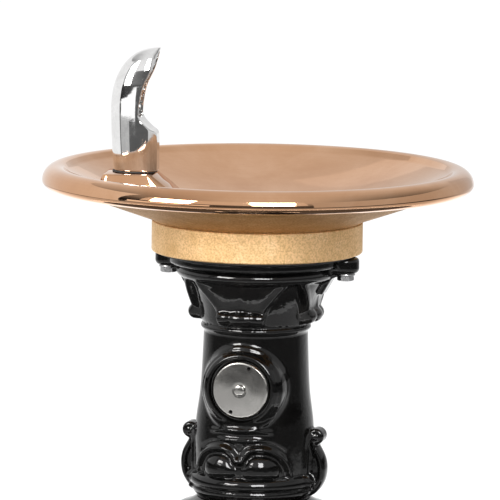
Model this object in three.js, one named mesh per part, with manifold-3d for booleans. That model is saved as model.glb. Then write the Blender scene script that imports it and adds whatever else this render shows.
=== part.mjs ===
// A pedestal drinking fountain: a shallow bronze bowl with a hooded spout on an ornate cast-iron column,
// a push button valve in the column's drum, and the supply and waste pipes inside.
// Millimetres, +Z up. The column stands on the Z axis, the floor is Z = 0 and the button faces -Y.
import * as THREE from 'three';
import { LoftGeometry } from 'three/addons/geometries/LoftGeometry.js';
import { mergeVertices } from 'three/addons/utils/BufferGeometryUtils.js';
import Module from 'manifold-3d';

const wasm = await Module();
wasm.setup();

// ---- driving dimensions ----

const GAP = 0.3; // left between pieces that touch

const RIM_Z = 838; // crest of the bowl's rim above the floor
const BOWL_R = 190.5;
const RIM_HALF_WIDTH = 13;
const RIM_TOP_HEIGHT = 13;
const RIM_UNDER_HEIGHT = 7;
const DISH_R = BOWL_R - RIM_HALF_WIDTH;
const DISH_DEPTH = 44;
const DISH_POWER = 2.2;
const DISH_WALL = 7;
const SEAT_R = 31.5; // recess that the drain sits in
const SEAT_DEPTH = 4;
const DRAIN_R = 19;
const DRAIN_BORE_R = 16;

const COLLAR_R = 93.3;
const COLLAR_INNER_R = 66;
const COLLAR_TOP = 790.5;
const COLLAR_BOTTOM = 763.3;
const GASKET_THICKNESS = 1.7;
const FLANGE_TOP = COLLAR_BOTTOM - GASKET_THICKNESS - 2 * GAP;
const FLANGE_R = 78;
const FLANGE_THICKNESS = 8;
const LUG_REACH = 93;
const LUG_WIDTH = 25;
const LUG_THICKNESS = 14;
const FLANGE_BOLT_R = 81;
const BOLT_R = 4; // 5/16 in bolts
const BOLT_HOLE_R = BOLT_R + 0.4;
const BOLT_HEAD_R = 7.4; // across corners, halved
const BOLT_HEAD_HEIGHT = 4.4;
const BOWL_BOLT_DEPTH = 7;

const SPOUT_REACH = 110; // spout's centre to the bowl's centre
const SPOUT_TURN = THREE.MathUtils.degToRad(8.5);
const PAD_Z = 830.5;
const PAD_BACK = -25.7;
const PAD_FRONT = 19.2;
const PAD_HALF_WIDTH = 25;
const PAD_DRAFT = 0.17;
const SPOUT_GASKET = 1.2;
const SPOUT_BASE = 1.8;
const SPOUT_HALF_WIDTH = 17;
const HOOD_WALL = 3;
const SHANK_R = 7.9;
const WATERWAY_R = 3;
const WATERWAY_Z = 802.5;
const WATERWAY_SLOPE = 0.198;
const OUTLET_REACH = 52;

const HEAD_BOTTOM = 543.6;
const NECK_R = 50.7;
const SPIGOT_R = 43.5;
const SPIGOT_HEIGHT = 16.5;
const BUTTON_Z = 646;
const BUTTON_R = 25.8;
const BUTTON_FRONT = 54;
const BUTTON_BACK = 42;
const BUTTON_TRAVEL = 5;
const BOSS_R = 37;
const BOSS_FRONT = 51;
const BOSS_STEP_R = 33.5;
const BOSS_STEP = 4;
const BEAD_R = 29.8;
const BOSS_BORE_R = 28.2;

const SHAFT_BOTTOM = 222.3;
const PLINTH_HALF = 88;
const PLINTH_TOP = 222;
const PLINTH_INNER = 80;
const DECK_THICKNESS = 10;
const DECK_HOLE_R = 62;
const FOOT_HALF = 130;
const ANCHOR_SPACING = 200;
const ANCHOR_R = 5.9;
const SHAFT_BOLT_R = 88;

const WASTE_R = 12;
const WASTE_BORE_R = 10.4;
const WASTE_Y = 24;
const TRAP_BEND = 23.9;
const SUPPLY_R = 4.8;
const SUPPLY_BORE_R = 3.4;
const VALVE_Y = -5;
const STOP = new THREE.Vector3(-40, -30, 130);

// ---- materials ----

const finish = (color, roughness, metalness) =>
  new THREE.MeshStandardMaterial({ color, roughness, metalness });
const polishedBronze = finish(0xc99872, 0.14, 1);
const roughBronze = finish(0xc8a070, 0.5, 1);
const blackEnamel = finish(0x0c0c0d, 0.16, 0);
const chrome = finish(0xd2d2d4, 0.07, 1);
const stainless = finish(0x9c968c, 0.32, 1);
const brass = finish(0xb08d4c, 0.35, 1);
const copper = finish(0xb5714d, 0.38, 1);
const steel = finish(0x9a9c9e, 0.4, 1);
const rubber = finish(0x161616, 0.8, 0);
const whitePlastic = finish(0xd9d8d2, 0.5, 0);

// ---- geometry and solids ----

// A geometry as positions and shared corners only, with collapsed triangles gone and its faces pointing out.
function closed(geometry) {
  const bare = new THREE.BufferGeometry();
  bare.setAttribute('position', geometry.getAttribute('position'));
  bare.setIndex(geometry.getIndex());
  const merged = mergeVertices(bare, 1e-3);
  const corner = [0, 1, 2].map(() => new THREE.Vector3());
  const kept = [];
  let volume = 0;
  for (let i = 0; i < merged.index.count; i += 3) {
    const triangle = [0, 1, 2].map((k) => merged.index.getX(i + k));
    if (new Set(triangle).size < 3) continue;
    triangle.forEach((v, k) => corner[k].fromBufferAttribute(merged.attributes.position, v));
    volume += corner[0].dot(corner[1].cross(corner[2]));
    kept.push(triangle);
  }
  const turned = volume < 0 ? kept.map(([a, b, c]) => [a, c, b]) : kept;
  merged.setIndex(turned.flat());
  return merged;
}

function solid(geometry) {
  const shape = closed(geometry);
  return new wasm.Manifold(new wasm.Mesh({
    numProp: 3,
    vertProperties: new Float32Array(shape.attributes.position.array),
    triVerts: new Uint32Array(shape.index.array),
  }));
}

function geometryOf(body) {
  const mesh = body.getMesh();
  const geometry = new THREE.BufferGeometry();
  geometry.setAttribute('position', new THREE.BufferAttribute(mesh.vertProperties, 3));
  geometry.setIndex(new THREE.BufferAttribute(mesh.triVerts, 1));
  geometry.computeVertexNormals();
  return geometry;
}

const join = (...bodies) => bodies.reduce((whole, body) => whole.add(body));
const cut = (body, ...tools) => tools.reduce((rest, tool) => rest.subtract(tool), body);

function part(name, body, material) {
  const geometry = body instanceof THREE.BufferGeometry ? closed(body) : geometryOf(body);
  const mesh = new THREE.Mesh(geometry, material);
  mesh.name = name;
  return mesh;
}

const at = (mesh, x, y, z) => {
  mesh.position.set(x, y, z);
  return mesh;
};

// A [radius, height] outline turned about the Z axis.
function turned(outline, segments) {
  const points = outline.map(([r, z]) => new THREE.Vector2(r, z));
  return new THREE.LatheGeometry(points, segments).rotateX(Math.PI / 2);
}

// A closed [radius, height] outline, so its first point is repeated at the end.
const ring = (outline, segments) => turned([...outline, outline[0]], segments);

const tubeRing = (outer, inner, bottom, top, segments) =>
  ring([[inner, bottom], [outer, bottom], [outer, top], [inner, top]], segments);

function rod(radius, bottom, top, sides = 16, topRadius = radius) {
  const geometry = new THREE.CylinderGeometry(topRadius, radius, top - bottom, sides);
  return geometry.rotateX(Math.PI / 2).translate(0, 0, (top + bottom) / 2);
}

// Turns a shape made about Z so that it points along -Y, heights becoming distances in front of the axis.
const facingFront = (geometry) => geometry.rotateX(Math.PI / 2);

// The corner radius of a hole with flat sides that clears a round piece by the gap.
const clearing = (radius, sides) => (radius + GAP) / Math.cos(Math.PI / sides);

const box = (x0, x1, y0, y1, z0, z1) =>
  new THREE.BoxGeometry(x1 - x0, y1 - y0, z1 - z0).translate((x0 + x1) / 2, (y0 + y1) / 2, (z0 + z1) / 2);

// An [x, z] outline given a thickness along Y.
function plate(outline, halfWidth) {
  const shape = new THREE.Shape(outline.map(([x, z]) => new THREE.Vector2(x, z)));
  const geometry = new THREE.ExtrudeGeometry(shape, { depth: 2 * halfWidth, bevelEnabled: false });
  return geometry.rotateX(Math.PI / 2).translate(0, halfWidth, 0);
}

// Points on an arc of an ellipse about [cx, cy], angles in degrees.
function arc(cx, cy, rx, ry, from, to, steps) {
  return Array.from({ length: steps + 1 }, (_, i) => {
    const angle = THREE.MathUtils.degToRad(from + (to - from) * i / steps);
    return [cx + rx * Math.cos(angle), cy + ry * Math.sin(angle)];
  });
}

const onCircle = (radius, angle) => [radius * Math.cos(angle), radius * Math.sin(angle)];

// The places and directions of a run of straight lines through the corners, with round bends.
function bentRun(corners, bend, steps = 4) {
  const run = [];
  corners.forEach((corner, i) => {
    if (i === 0 || i === corners.length - 1) {
      const direction = i ? corner.clone().sub(corners[i - 1]) : corners[1].clone().sub(corner);
      run.push([corner.clone(), direction.normalize()]);
      return;
    }
    const back = corners[i - 1].clone().sub(corner).normalize();
    const on = corners[i + 1].clone().sub(corner).normalize();
    const half = back.angleTo(on) / 2;
    const centre = corner.clone().addScaledVector(back.clone().add(on).normalize(), bend / Math.sin(half));
    const start = corner.clone().addScaledVector(back, bend / Math.tan(half)).sub(centre);
    const axis = on.clone().cross(back).normalize().negate();
    for (let k = 0; k <= steps; k++) {
      const angle = (Math.PI - 2 * half) * k / steps;
      const place = start.clone().applyAxisAngle(axis, -angle).add(centre);
      run.push([place, back.clone().negate().applyAxisAngle(axis, -angle)]);
    }
  });
  return run;
}

function pipeShape(run, radius, sides) {
  const side = new THREE.Vector3(0, 1, 0);
  const sections = run.map(([place, direction]) => {
    side.addScaledVector(direction, -side.dot(direction)).normalize();
    const across = direction.clone().cross(side);
    return Array.from({ length: sides }, (_, k) => {
      const angle = 2 * Math.PI * k / sides;
      return place.clone()
        .addScaledVector(side, radius * Math.cos(angle))
        .addScaledVector(across, radius * Math.sin(angle));
    });
  });
  return solid(new LoftGeometry(sections, { capStart: true, capEnd: true }));
}

// A hollow pipe through the corners. Its bore runs past both ends.
function pipe(corners, bend, outer, inner) {
  const run = bentRun(corners.map((c) => new THREE.Vector3(...c)), bend);
  const long = run.map(([place, direction]) => [place.clone(), direction]);
  long[0][0].addScaledVector(run[0][1], -1);
  long.at(-1)[0].addScaledVector(run.at(-1)[1], 1);
  return cut(pipeShape(run, outer, outer > 8 ? 10 : 8), pipeShape(long, inner, 6));
}

// ---- bowl, collar and their bolts ----

const dishZ = (r) => RIM_Z - DISH_DEPTH * (1 - (r / DISH_R) ** DISH_POWER);
const SEAT_Z = dishZ(SEAT_R) - SEAT_DEPTH;
const BOWL_FOOT = COLLAR_TOP + GAP;

// The spout's own frame: x towards the bowl's centre, y across, z up from the pad.
const spoutFrame = new THREE.Matrix4()
  .makeTranslation(-SPOUT_REACH * Math.cos(SPOUT_TURN), -SPOUT_REACH * Math.sin(SPOUT_TURN), PAD_Z)
  .multiply(new THREE.Matrix4().makeRotationZ(SPOUT_TURN));

function pad() {
  const side = plate([[PAD_BACK, 0], [PAD_FRONT, 0], [57, -34], [40, -36], [0, -29], [-30.5, -15]], 40);
  const low = -36;
  const wide = PAD_HALF_WIDTH - PAD_DRAFT * low;
  const front = plate([[-PAD_HALF_WIDTH, 0], [PAD_HALF_WIDTH, 0], [wide, low], [-wide, low]], 80);
  front.rotateZ(Math.PI / 2);
  return solid(side).intersect(solid(front));
}

// The cast rib and boss under the dish that carry the water from the column to the spout.
function waterwayRib() {
  const x = SPOUT_REACH - OUTLET_REACH;
  const bottom = 783 - PAD_Z;
  const boss = rod(9, bottom, bottom + 11, 12).translate(x, 0, 0);
  return join(solid(boss), solid(box(x - 13, x, -7, 7, 787 - PAD_Z, 796 - PAD_Z)));
}

function waterwayBores() {
  const x = SPOUT_REACH - OUTLET_REACH;
  const drop = x * WATERWAY_SLOPE;
  const z = WATERWAY_Z - PAD_Z;
  const run = [[-2, 0, z + 2 * WATERWAY_SLOPE], [x + 2, 0, z - drop]].map((c) => new THREE.Vector3(...c));
  return [
    pipeShape(bentRun(run, 1), WATERWAY_R, 10),
    solid(rod(SHANK_R + GAP, z - 2, 5, 16)),
    solid(rod(3.8, 780 - PAD_Z, z - drop, 10).translate(x, 0, 0)),
  ];
}

const inSpoutFrame = (body) => solid(geometryOf(body).applyMatrix4(spoutFrame));

function bowl() {
  const dish = [SEAT_R, 55, 80, 105, 130, 152].map((r) => [r, dishZ(r)]);
  const rimZ = RIM_Z - RIM_TOP_HEIGHT;
  const rim = [
    [DISH_R - 9, dishZ(DISH_R - 9)],
    ...arc(DISH_R, rimZ, RIM_HALF_WIDTH, RIM_TOP_HEIGHT, 105, 0, 6),
    ...arc(DISH_R, rimZ, RIM_HALF_WIDTH, RIM_UNDER_HEIGHT, -30, -110, 3),
  ];
  const outline = [
    ...dish,
    ...rim,
    [171, 819.6],
    [COLLAR_R, BOWL_FOOT + 1],
    [COLLAR_R - 1.2, BOWL_FOOT],
    [70, BOWL_FOOT],
    [68, dishZ(68) - DISH_WALL],
    [40, dishZ(40) - DISH_WALL],
    [38, SEAT_Z - DISH_WALL],
    [DRAIN_R + GAP, SEAT_Z - DISH_WALL],
    [DRAIN_R + GAP, SEAT_Z],
    [SEAT_R, SEAT_Z],
  ];
  const cast = join(solid(ring(outline, 40)), inSpoutFrame(pad()), inSpoutFrame(waterwayRib()));
  const tapped = [-1, 1].map((s) =>
    solid(rod(BOLT_HOLE_R, BOWL_FOOT - 1, BOWL_FOOT + BOWL_BOLT_DEPTH, 12).translate(s * FLANGE_BOLT_R, 0, 0)));
  return cut(cast, ...waterwayBores().map(inSpoutFrame), ...tapped);
}

const boltHoles = (bottom, top) => [-1, 1].map((s) =>
  solid(rod(BOLT_HOLE_R, bottom, top, 12).translate(s * FLANGE_BOLT_R, 0, 0)));

function collar() {
  const outline = [
    [COLLAR_INNER_R, COLLAR_BOTTOM],
    [COLLAR_R - 1.5, COLLAR_BOTTOM],
    [COLLAR_R, COLLAR_BOTTOM + 1.5],
    [COLLAR_R, COLLAR_TOP - 1],
    [COLLAR_R - 1, COLLAR_TOP],
    [COLLAR_INNER_R, COLLAR_TOP],
  ];
  return cut(solid(ring(outline, 40)), ...boltHoles(COLLAR_BOTTOM - 1, COLLAR_TOP + 1));
}

function collarGasket() {
  const bottom = FLANGE_TOP + GAP;
  const top = bottom + GASKET_THICKNESS;
  return cut(solid(tubeRing(88, 60, bottom, top, 24)), ...boltHoles(bottom - 1, top + 1));
}

// A hex head bolt, its shank up the +Z axis from the underside of its head at z = 0.
function hexBolt(length) {
  const head = rod(BOLT_HEAD_R, -BOLT_HEAD_HEIGHT, 0, 6);
  return join(solid(head), solid(rod(BOLT_R, -1, length, 10)));
}

const WASHER_THICKNESS = 1.6;
const washer = () => tubeRing(8.5, BOLT_HOLE_R, 0, WASHER_THICKNESS, 16);

function bowlAssembly() {
  const group = new THREE.Group();
  group.add(part('bowl', bowl(), polishedBronze));
  group.add(part('bowl_collar', collar(), roughBronze));
  group.add(part('collar_gasket', collarGasket(), rubber));
  const washerZ = FLANGE_TOP - LUG_THICKNESS - GAP - WASHER_THICKNESS;
  const boltLength = BOWL_FOOT + BOWL_BOLT_DEPTH - 1.5 - washerZ;
  for (const [side, s] of [['left', -1], ['right', 1]]) {
    group.add(at(part(`flange_washer_${side}`, washer(), steel), s * FLANGE_BOLT_R, 0, washerZ));
    const bolt = part(`flange_bolt_${side}`, hexBolt(boltLength), steel);
    group.add(at(bolt, s * FLANGE_BOLT_R, 0, washerZ - GAP));
  }
  return group;
}

// ---- hooded spout ----

// The hood's back edge from the base to the tip, as [x, z] above the pad.
const HOOD_BACK = [
  [-18.6, SPOUT_BASE], [-19.6, 11], [-20.2, 23], [-21.3, 43], [-21.5, 57], [-19.9, 71],
  [-15.6, 85.5], [-7, 99.8], [1.4, 106], [15, 110.4], [22.5, 110.9],
];
// The front edge from the tip down the hood's mouth, over the shoulder and down the flat face.
const HOOD_FRONT = [[16.1, 91.5], [8.8, 76.4], [5.9, 62], [5, 51], [10.4, 43.3], [14.9, 38.5], [21, 36.5]];

// A D-shaped plan: round at the back, flat in front with well rounded corners.
function dPlan(back, front, halfWidth, bottom, top) {
  const outline = [
    [front, halfWidth - 10],
    [front - 3.5, halfWidth - 3.5],
    [front - 10, halfWidth],
    ...arc(back + 19, 0, 19, halfWidth, 90, 270, 8).slice(1, -1),
    [front - 10, -halfWidth],
    [front - 3.5, 3.5 - halfWidth],
    [front, 10 - halfWidth],
  ];
  const shape = new THREE.Shape(outline.map(([x, y]) => new THREE.Vector2(x, y)));
  return new THREE.ExtrudeGeometry(shape, { depth: top - bottom, bevelEnabled: false }).translate(0, 0, bottom);
}

function spoutBody() {
  const side = plate([...HOOD_BACK, ...HOOD_FRONT, [21, SPOUT_BASE]], 30);
  const outside = solid(side).intersect(solid(dPlan(-21.6, 22.6, SPOUT_HALF_WIDTH, 0, 112)));
  const backWall = HOOD_BACK.slice(4, 10).map(([x, z], i) => [x + HOOD_WALL - 0.1 * i, z - 0.45 * i]);
  const hollow = solid(plate([[-18, 53], ...backWall, [30, 107.5], [30, 53]], 30));
  const inner = solid(dPlan(-21.6 + HOOD_WALL, 40, SPOUT_HALF_WIDTH - HOOD_WALL, 50, 120));
  const waterway = join(
    solid(rod(SHANK_R + GAP, -1, SPOUT_BASE + 12, 16)),
    solid(rod(3.5, SPOUT_BASE + 8, 60, 10).translate(-6, 0, 0)),
  );
  const link = solid(box(-8, 3, -2.5, 2.5, SPOUT_BASE + 6, SPOUT_BASE + 13));
  return cut(outside, hollow.intersect(inner), waterway, link);
}

function nozzle() {
  const stem = rod(5.5, 0, 12, 12);
  const jet = rod(4.2, 0, 13, 12).rotateY(THREE.MathUtils.degToRad(40)).translate(0, 0, 8);
  return join(solid(stem), solid(jet));
}

function spoutAssembly() {
  const group = new THREE.Group();
  group.applyMatrix4(spoutFrame);
  const gasketPlan = dPlan(-19.6, 20, SPOUT_HALF_WIDTH - 1, 0, SPOUT_GASKET);
  const gasket = cut(solid(gasketPlan), solid(rod(SHANK_R + GAP, -1, 3, 16)));
  group.add(at(part('spout_gasket', gasket, rubber), 0, 0, GAP));
  group.add(part('spout_body', spoutBody(), chrome));
  group.add(at(part('spout_nozzle', nozzle(), chrome), -6, 0, 53 + GAP));
  group.add(part('spout_shank', tubeRing(SHANK_R, 4, 804 - PAD_Z, SPOUT_BASE + 10, 16), brass));
  return group;
}

// ---- drain ----

const STRAINER_HOLES = [[6, 10], [10, 19]]; // holes in each ring and the ring's radius

function strainer() {
  const plateShape = new THREE.Shape(arc(0, 0, 26, 26, 0, 345, 23).map(([x, y]) => new THREE.Vector2(x, y)));
  const hole = (x, y, r) => new THREE.Path(arc(x, y, r, r, 0, 300, 5).map(([u, v]) => new THREE.Vector2(u, v)));
  plateShape.holes.push(hole(0, 0, 3));
  for (const [count, radius] of STRAINER_HOLES) {
    for (let i = 0; i < count; i++) {
      const [x, y] = onCircle(radius, 2 * Math.PI * (i + 0.5) / count);
      plateShape.holes.push(hole(x, y, 2.6));
    }
  }
  return new THREE.ExtrudeGeometry(plateShape, { depth: 1.5, bevelEnabled: false });
}

function drainBody() {
  const flange = [
    [DRAIN_BORE_R, SEAT_Z - 28], [DRAIN_R, SEAT_Z - 28], [DRAIN_R, SEAT_Z + GAP],
    [SEAT_R - 1, SEAT_Z + GAP], [SEAT_R - 1, SEAT_Z + 3], [27, SEAT_Z + 3], [27, SEAT_Z + 1.6],
    [DRAIN_BORE_R, SEAT_Z + 1.6],
  ];
  const bar = box(-DRAIN_BORE_R - 1, DRAIN_BORE_R + 1, -3, 3, SEAT_Z - 8, SEAT_Z - 3);
  const bridge = join(solid(bar), solid(rod(5.5, SEAT_Z - 8, SEAT_Z - 1, 12)));
  return cut(join(solid(ring(flange, 20)), bridge), solid(rod(2.7, SEAT_Z - 9, SEAT_Z, 8)));
}

function drainAssembly() {
  const group = new THREE.Group();
  const strainerZ = SEAT_Z + 1.9;
  group.add(part('drain_body', drainBody(), brass));
  group.add(at(part('drain_strainer', strainer(), stainless), 0, 0, strainerZ));
  const head = rod(4.8, strainerZ + 1.8, strainerZ + 3.4, 12, 3.6);
  const screw = join(solid(head), solid(rod(2.4, SEAT_Z - 7, strainerZ + 2, 8)));
  group.add(part('strainer_screw', screw, stainless));
  const under = SEAT_Z - DISH_WALL - GAP;
  group.add(part('drain_gasket', tubeRing(31, clearing(DRAIN_R, 20), under - 3, under, 20), rubber));
  const nutBore = solid(rod(clearing(DRAIN_R, 20), 700, 800, 20));
  const nut = cut(solid(rod(29, under - 12, under - 3 - GAP, 6)), nutBore);
  group.add(part('drain_locknut', nut, brass));
  return group;
}

// ---- pedestal head ----

const HEAD_SEGMENTS = 28;

// Half-round mouldings and coves down the outside of the head.
const HEAD_OUTLINE = [
  [FLANGE_R, FLANGE_TOP],
  [FLANGE_R, FLANGE_TOP - FLANGE_THICKNESS + 1.5],
  ...arc(65.5, 748.5, 5, 4.5, 60, -60, 2),
  [66, 742], [57, 726], [50.5, 711], [50, 700], [48.5, 697],
  [46.2, 692], [46.8, 676], [48.2, 646], [50.6, 625], [52.6, 612], [54.4, 600], [54, 570],
  ...arc(54, 563, 4.3, 4.5, 60, -60, 2),
  [53, 557.4], [55, 553], [52.2, 548], [NECK_R, 545], [NECK_R, HEAD_BOTTOM],
];
const HEAD_INSIDE = [
  [SPIGOT_R + 0.5, HEAD_BOTTOM], [44, 562], [40, 640], [40, 700], [54, 742], [58, FLANGE_TOP],
];

// Four broad leaves hang over the bell. Each is a slice of a turned skirt that ends in a curled lip.
function leaves() {
  const skirt = ring([[60, 743], [69, 743], [61, 728], [56, 716], [54, 704], [48, 704]], HEAD_SEGMENTS);
  const lip = new THREE.TorusGeometry(53.4, 6.9, 6, HEAD_SEGMENTS).translate(0, 0, 710);
  const slice = plate([[-38, 744], [38, 744], [17, 702], [-17, 702]], 80);
  const slices = join(solid(slice), solid(slice.clone().rotateZ(Math.PI / 2)));
  return join(solid(skirt), solid(lip)).intersect(slices);
}

const SCROLL_HALF_WIDTH = 8;

// A C scroll on one side: a curl at its top and a swelling back.
function scroll(side) {
  const back = [...arc(50, 573, 16.6, 24, 65, -50, 5), [46, 552], [46, 598]];
  const curl = solid(plate(arc(57.8, 600.6, 7.2, 7.2, 0, 315, 7), SCROLL_HALF_WIDTH));
  const turn = side < 0 ? Math.PI : 0;
  return [solid(plate(back, SCROLL_HALF_WIDTH)), curl].map((body) => solid(geometryOf(body).rotateZ(turn)));
}

// The round boss that the button sits in, with its outer moulding and the bead around the bore.
function buttonBoss() {
  const outline = [
    [0, 30], [BOSS_R, 30], [BOSS_R, BOSS_FRONT - BOSS_STEP - 2], [BOSS_R - 2, BOSS_FRONT - BOSS_STEP],
    [BOSS_STEP_R, BOSS_FRONT - BOSS_STEP], [BOSS_STEP_R, BOSS_FRONT - 1.5], [BOSS_STEP_R - 1.5, BOSS_FRONT],
    [BEAD_R + 1, BOSS_FRONT],
    ...arc(BEAD_R - 0.7, BOSS_FRONT, 1.7, 1.5, 0, 90, 2), [0, BOSS_FRONT + 1.5],
  ];
  return solid(facingFront(turned(outline, 24)).translate(0, 0, BUTTON_Z));
}

// Two round lobes side by side, on the front and again on the back.
function lobes() {
  const places = [[-19, -44], [19, -44], [-19, 44], [19, 44]];
  return places.map(([x, y]) =>
    solid(new THREE.SphereGeometry(1, 10, 6).scale(16, 12, 13).translate(x, y, 580)));
}

const SET_SCREW_ANGLES = [50, 130].map(THREE.MathUtils.degToRad);
const SET_SCREW_Z = 550;

// A shape lying along +X at the neck, turned to one of the set screws' directions.
const towards = (geometry, angle) => geometry.rotateY(Math.PI / 2).rotateZ(angle).translate(0, 0, SET_SCREW_Z);

function pedestalHead() {
  const shell = solid(ring([...HEAD_OUTLINE, ...HEAD_INSIDE], HEAD_SEGMENTS));
  const lugBottom = FLANGE_TOP - LUG_THICKNESS;
  const lugPlan = LUG_REACH - LUG_WIDTH / 2;
  const lugSide = (LUG_REACH - LUG_WIDTH / 2 + 60) / 2;
  const lugs = [-1, 1].flatMap((s) => [
    solid(rod(LUG_WIDTH / 2, lugBottom, FLANGE_TOP, 16).translate(s * lugPlan, 0, 0)),
    solid(box(60 - lugSide, lugPlan - lugSide, -LUG_WIDTH / 2, LUG_WIDTH / 2, lugBottom, FLANGE_TOP)
      .translate(s * lugSide, 0, 0)),
  ]);
  const trim = join(leaves(), ...scroll(1), ...scroll(-1), buttonBoss(), ...lobes(), ...lugs);
  const hollow = solid(turned([[0, HEAD_BOTTOM - 1], [SPIGOT_R + 0.5, HEAD_BOTTOM - 1],
    ...HEAD_INSIDE, [58, 770], [0, 770]], HEAD_SEGMENTS));
  const bore = solid(facingFront(rod(BOSS_BORE_R, 20, 70, 24)).translate(0, 0, BUTTON_Z));
  const setScrews = SET_SCREW_ANGLES.map((a) => solid(towards(rod(3.2, 40, 60, 10), a)));
  return cut(join(shell, cut(trim, hollow)), bore, ...boltHoles(lugBottom - 1, FLANGE_TOP + 1), ...setScrews);
}

// ---- pedestal shaft ----

const SHAFT_TOP = HEAD_BOTTOM - GAP;
const SHAFT_FLANGE_TOP = 233;
const SHAFT_OUTLINE = [
  [SPIGOT_R, SHAFT_TOP + SPIGOT_HEIGHT], [SPIGOT_R, SHAFT_TOP], [NECK_R, SHAFT_TOP],
  [53, 541.4], [58, 538.5], [65, 536], ...arc(64, 529, 5.5, 6, 60, -60, 2), [60, 519],
  ...arc(62, 508, 9.5, 9.5, 110, 250, 3),
  ...arc(52, 493, 4, 4, 60, -60, 2),
  [50.5, 486], [56, 400], [62, 310],
  ...arc(62, 300, 6, 6, 60, -60, 2), [62.5, 290], [70, 260],
  ...arc(72, 244, 9, 9, 60, -60, 2), [78, SHAFT_FLANGE_TOP], [97, SHAFT_FLANGE_TOP], [97, SHAFT_BOTTOM],
];
const SHAFT_INSIDE = [[58, SHAFT_BOTTOM], [52, 320], [37.5, 540], [37.5, SHAFT_TOP + SPIGOT_HEIGHT]];
const SHAFT_BOLT_ANGLES = [45, 135, 225, 315].map(THREE.MathUtils.degToRad);

const shaftBoltHoles = (bottom, top) => SHAFT_BOLT_ANGLES.map((angle) =>
  solid(rod(BOLT_HOLE_R, bottom, top, 10).translate(...onCircle(SHAFT_BOLT_R, angle), 0)));

const pedestalShaft = () =>
  cut(solid(ring([...SHAFT_OUTLINE, ...SHAFT_INSIDE], 28)), ...shaftBoltHoles(SHAFT_BOTTOM - 1, 240));

// ---- pedestal base: a square plinth with chamfered corners on a wide foot ----

const chamferedSquare = (half, chamfer, z) => {
  const near = half - chamfer;
  const corners = [[half, -near], [half, near], [near, half], [-near, half]];
  return [...corners, ...corners.map(([x, y]) => [-x, -y])].map(([x, y]) => new THREE.Vector3(x, y, z));
};

// A stack of [half width, height] levels, each corner's chamfer a fixed share of the width.
const plinth = (levels) => solid(new LoftGeometry(
  levels.map(([half, z]) => chamferedSquare(half, 0.24 * half, z)), { capStart: true, capEnd: true }));

const FOOT_TOP = 15.6;
const BASE_LEVELS = [
  [FOOT_HALF, 0], [FOOT_HALF, 12], [FOOT_HALF - 3, 15], [102, FOOT_TOP],
  [100, 22], [98, 34], [95, 38], [91, 46],
  [PLINTH_HALF, 50], [PLINTH_HALF, 196], [92, 199], [94, 205], [98, 209], [98, PLINTH_TOP],
];
const WINDOW = { halfWidth: 42, bottom: 65, top: 181 };
const COVER = { halfWidth: 54, bottom: 54, top: 192, thickness: 4 };
const COVER_SCREWS = [[-47, 60], [47, 60], [-47, 186], [47, 186]];
const ANCHORS = [[-1, -1], [1, -1], [1, 1], [-1, 1]]
  .map(([x, y]) => [x * ANCHOR_SPACING / 2, y * ANCHOR_SPACING / 2]);

// A shape made about Z, turned to point out of the rear face.
const facingRear = (geometry) => geometry.rotateX(-Math.PI / 2);

function pedestalBase() {
  const deck = PLINTH_TOP - DECK_THICKNESS;
  const { halfWidth, bottom, top } = WINDOW;
  const screwHoles = COVER_SCREWS.map(([x, z]) => solid(facingRear(rod(2.6, 82, 90, 8)).translate(x, 0, z)));
  const anchorHoles = ANCHORS.map(([x, y]) => solid(rod(ANCHOR_R + 0.9, -1, 20, 12).translate(x, y, 0)));
  return cut(
    plinth(BASE_LEVELS),
    plinth([[PLINTH_INNER, -1], [PLINTH_INNER, deck]]),
    solid(rod(DECK_HOLE_R, deck - 1, PLINTH_TOP + 1, 24)),
    solid(box(-halfWidth, halfWidth, 60, 100, bottom, top)),
    ...shaftBoltHoles(deck - 1, PLINTH_TOP + 1),
    ...screwHoles,
    ...anchorHoles,
  );
}

function accessCover() {
  const y = PLINTH_HALF + GAP;
  const { halfWidth, bottom, top, thickness } = COVER;
  const body = solid(box(-halfWidth, halfWidth, y, y + thickness, bottom, top));
  const holes = COVER_SCREWS.map(([x, z]) =>
    solid(facingRear(rod(2.6, y - 1, y + 6, 8)).translate(x, 0, z)));
  return cut(body, ...holes);
}

// A hex head anchor with its washer face. Its length below the floor belongs to the floor.
function anchorBolt() {
  const washerFace = rod(13, 0, 2, 16);
  return join(solid(washerFace), solid(rod(10.4, 1.5, 9.5, 6)), solid(rod(ANCHOR_R, -14, 1, 12)));
}

function pedestalAssembly() {
  const group = new THREE.Group();
  group.add(part('pedestal_head', pedestalHead(), blackEnamel));
  group.add(part('pedestal_shaft', pedestalShaft(), blackEnamel));
  group.add(part('pedestal_base', pedestalBase(), blackEnamel));
  SET_SCREW_ANGLES.forEach((angle, i) => {
    group.add(part(`neck_set_screw_${i + 1}`, towards(rod(2.9, SPIGOT_R + GAP, NECK_R, 10), angle), steel));
  });
  SHAFT_BOLT_ANGLES.forEach((angle, i) => {
    const bolt = part(`shaft_bolt_${i + 1}`, hexBolt(22), steel);
    bolt.rotation.x = Math.PI;
    group.add(at(bolt, ...onCircle(SHAFT_BOLT_R, angle), SHAFT_FLANGE_TOP + GAP));
  });
  ANCHORS.forEach(([x, y], i) => {
    group.add(at(part(`anchor_bolt_${i + 1}`, anchorBolt(), steel), x, y, FOOT_TOP + GAP));
  });
  group.add(part('access_cover', accessCover(), blackEnamel));
  const screwY = PLINTH_HALF + COVER.thickness + 2 * GAP;
  COVER_SCREWS.forEach(([x, z], i) => {
    const screw = join(
      solid(facingRear(rod(4.8, screwY, screwY + 2.2, 12, 3.4))),
      solid(facingRear(rod(2.2, screwY - 9, screwY + 1, 8))),
    );
    group.add(at(part(`cover_screw_${i + 1}`, screw, stainless), x, 0, z));
  });
  return group;
}

// ---- push button and its valve, along the Y axis at the button's height ----

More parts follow.
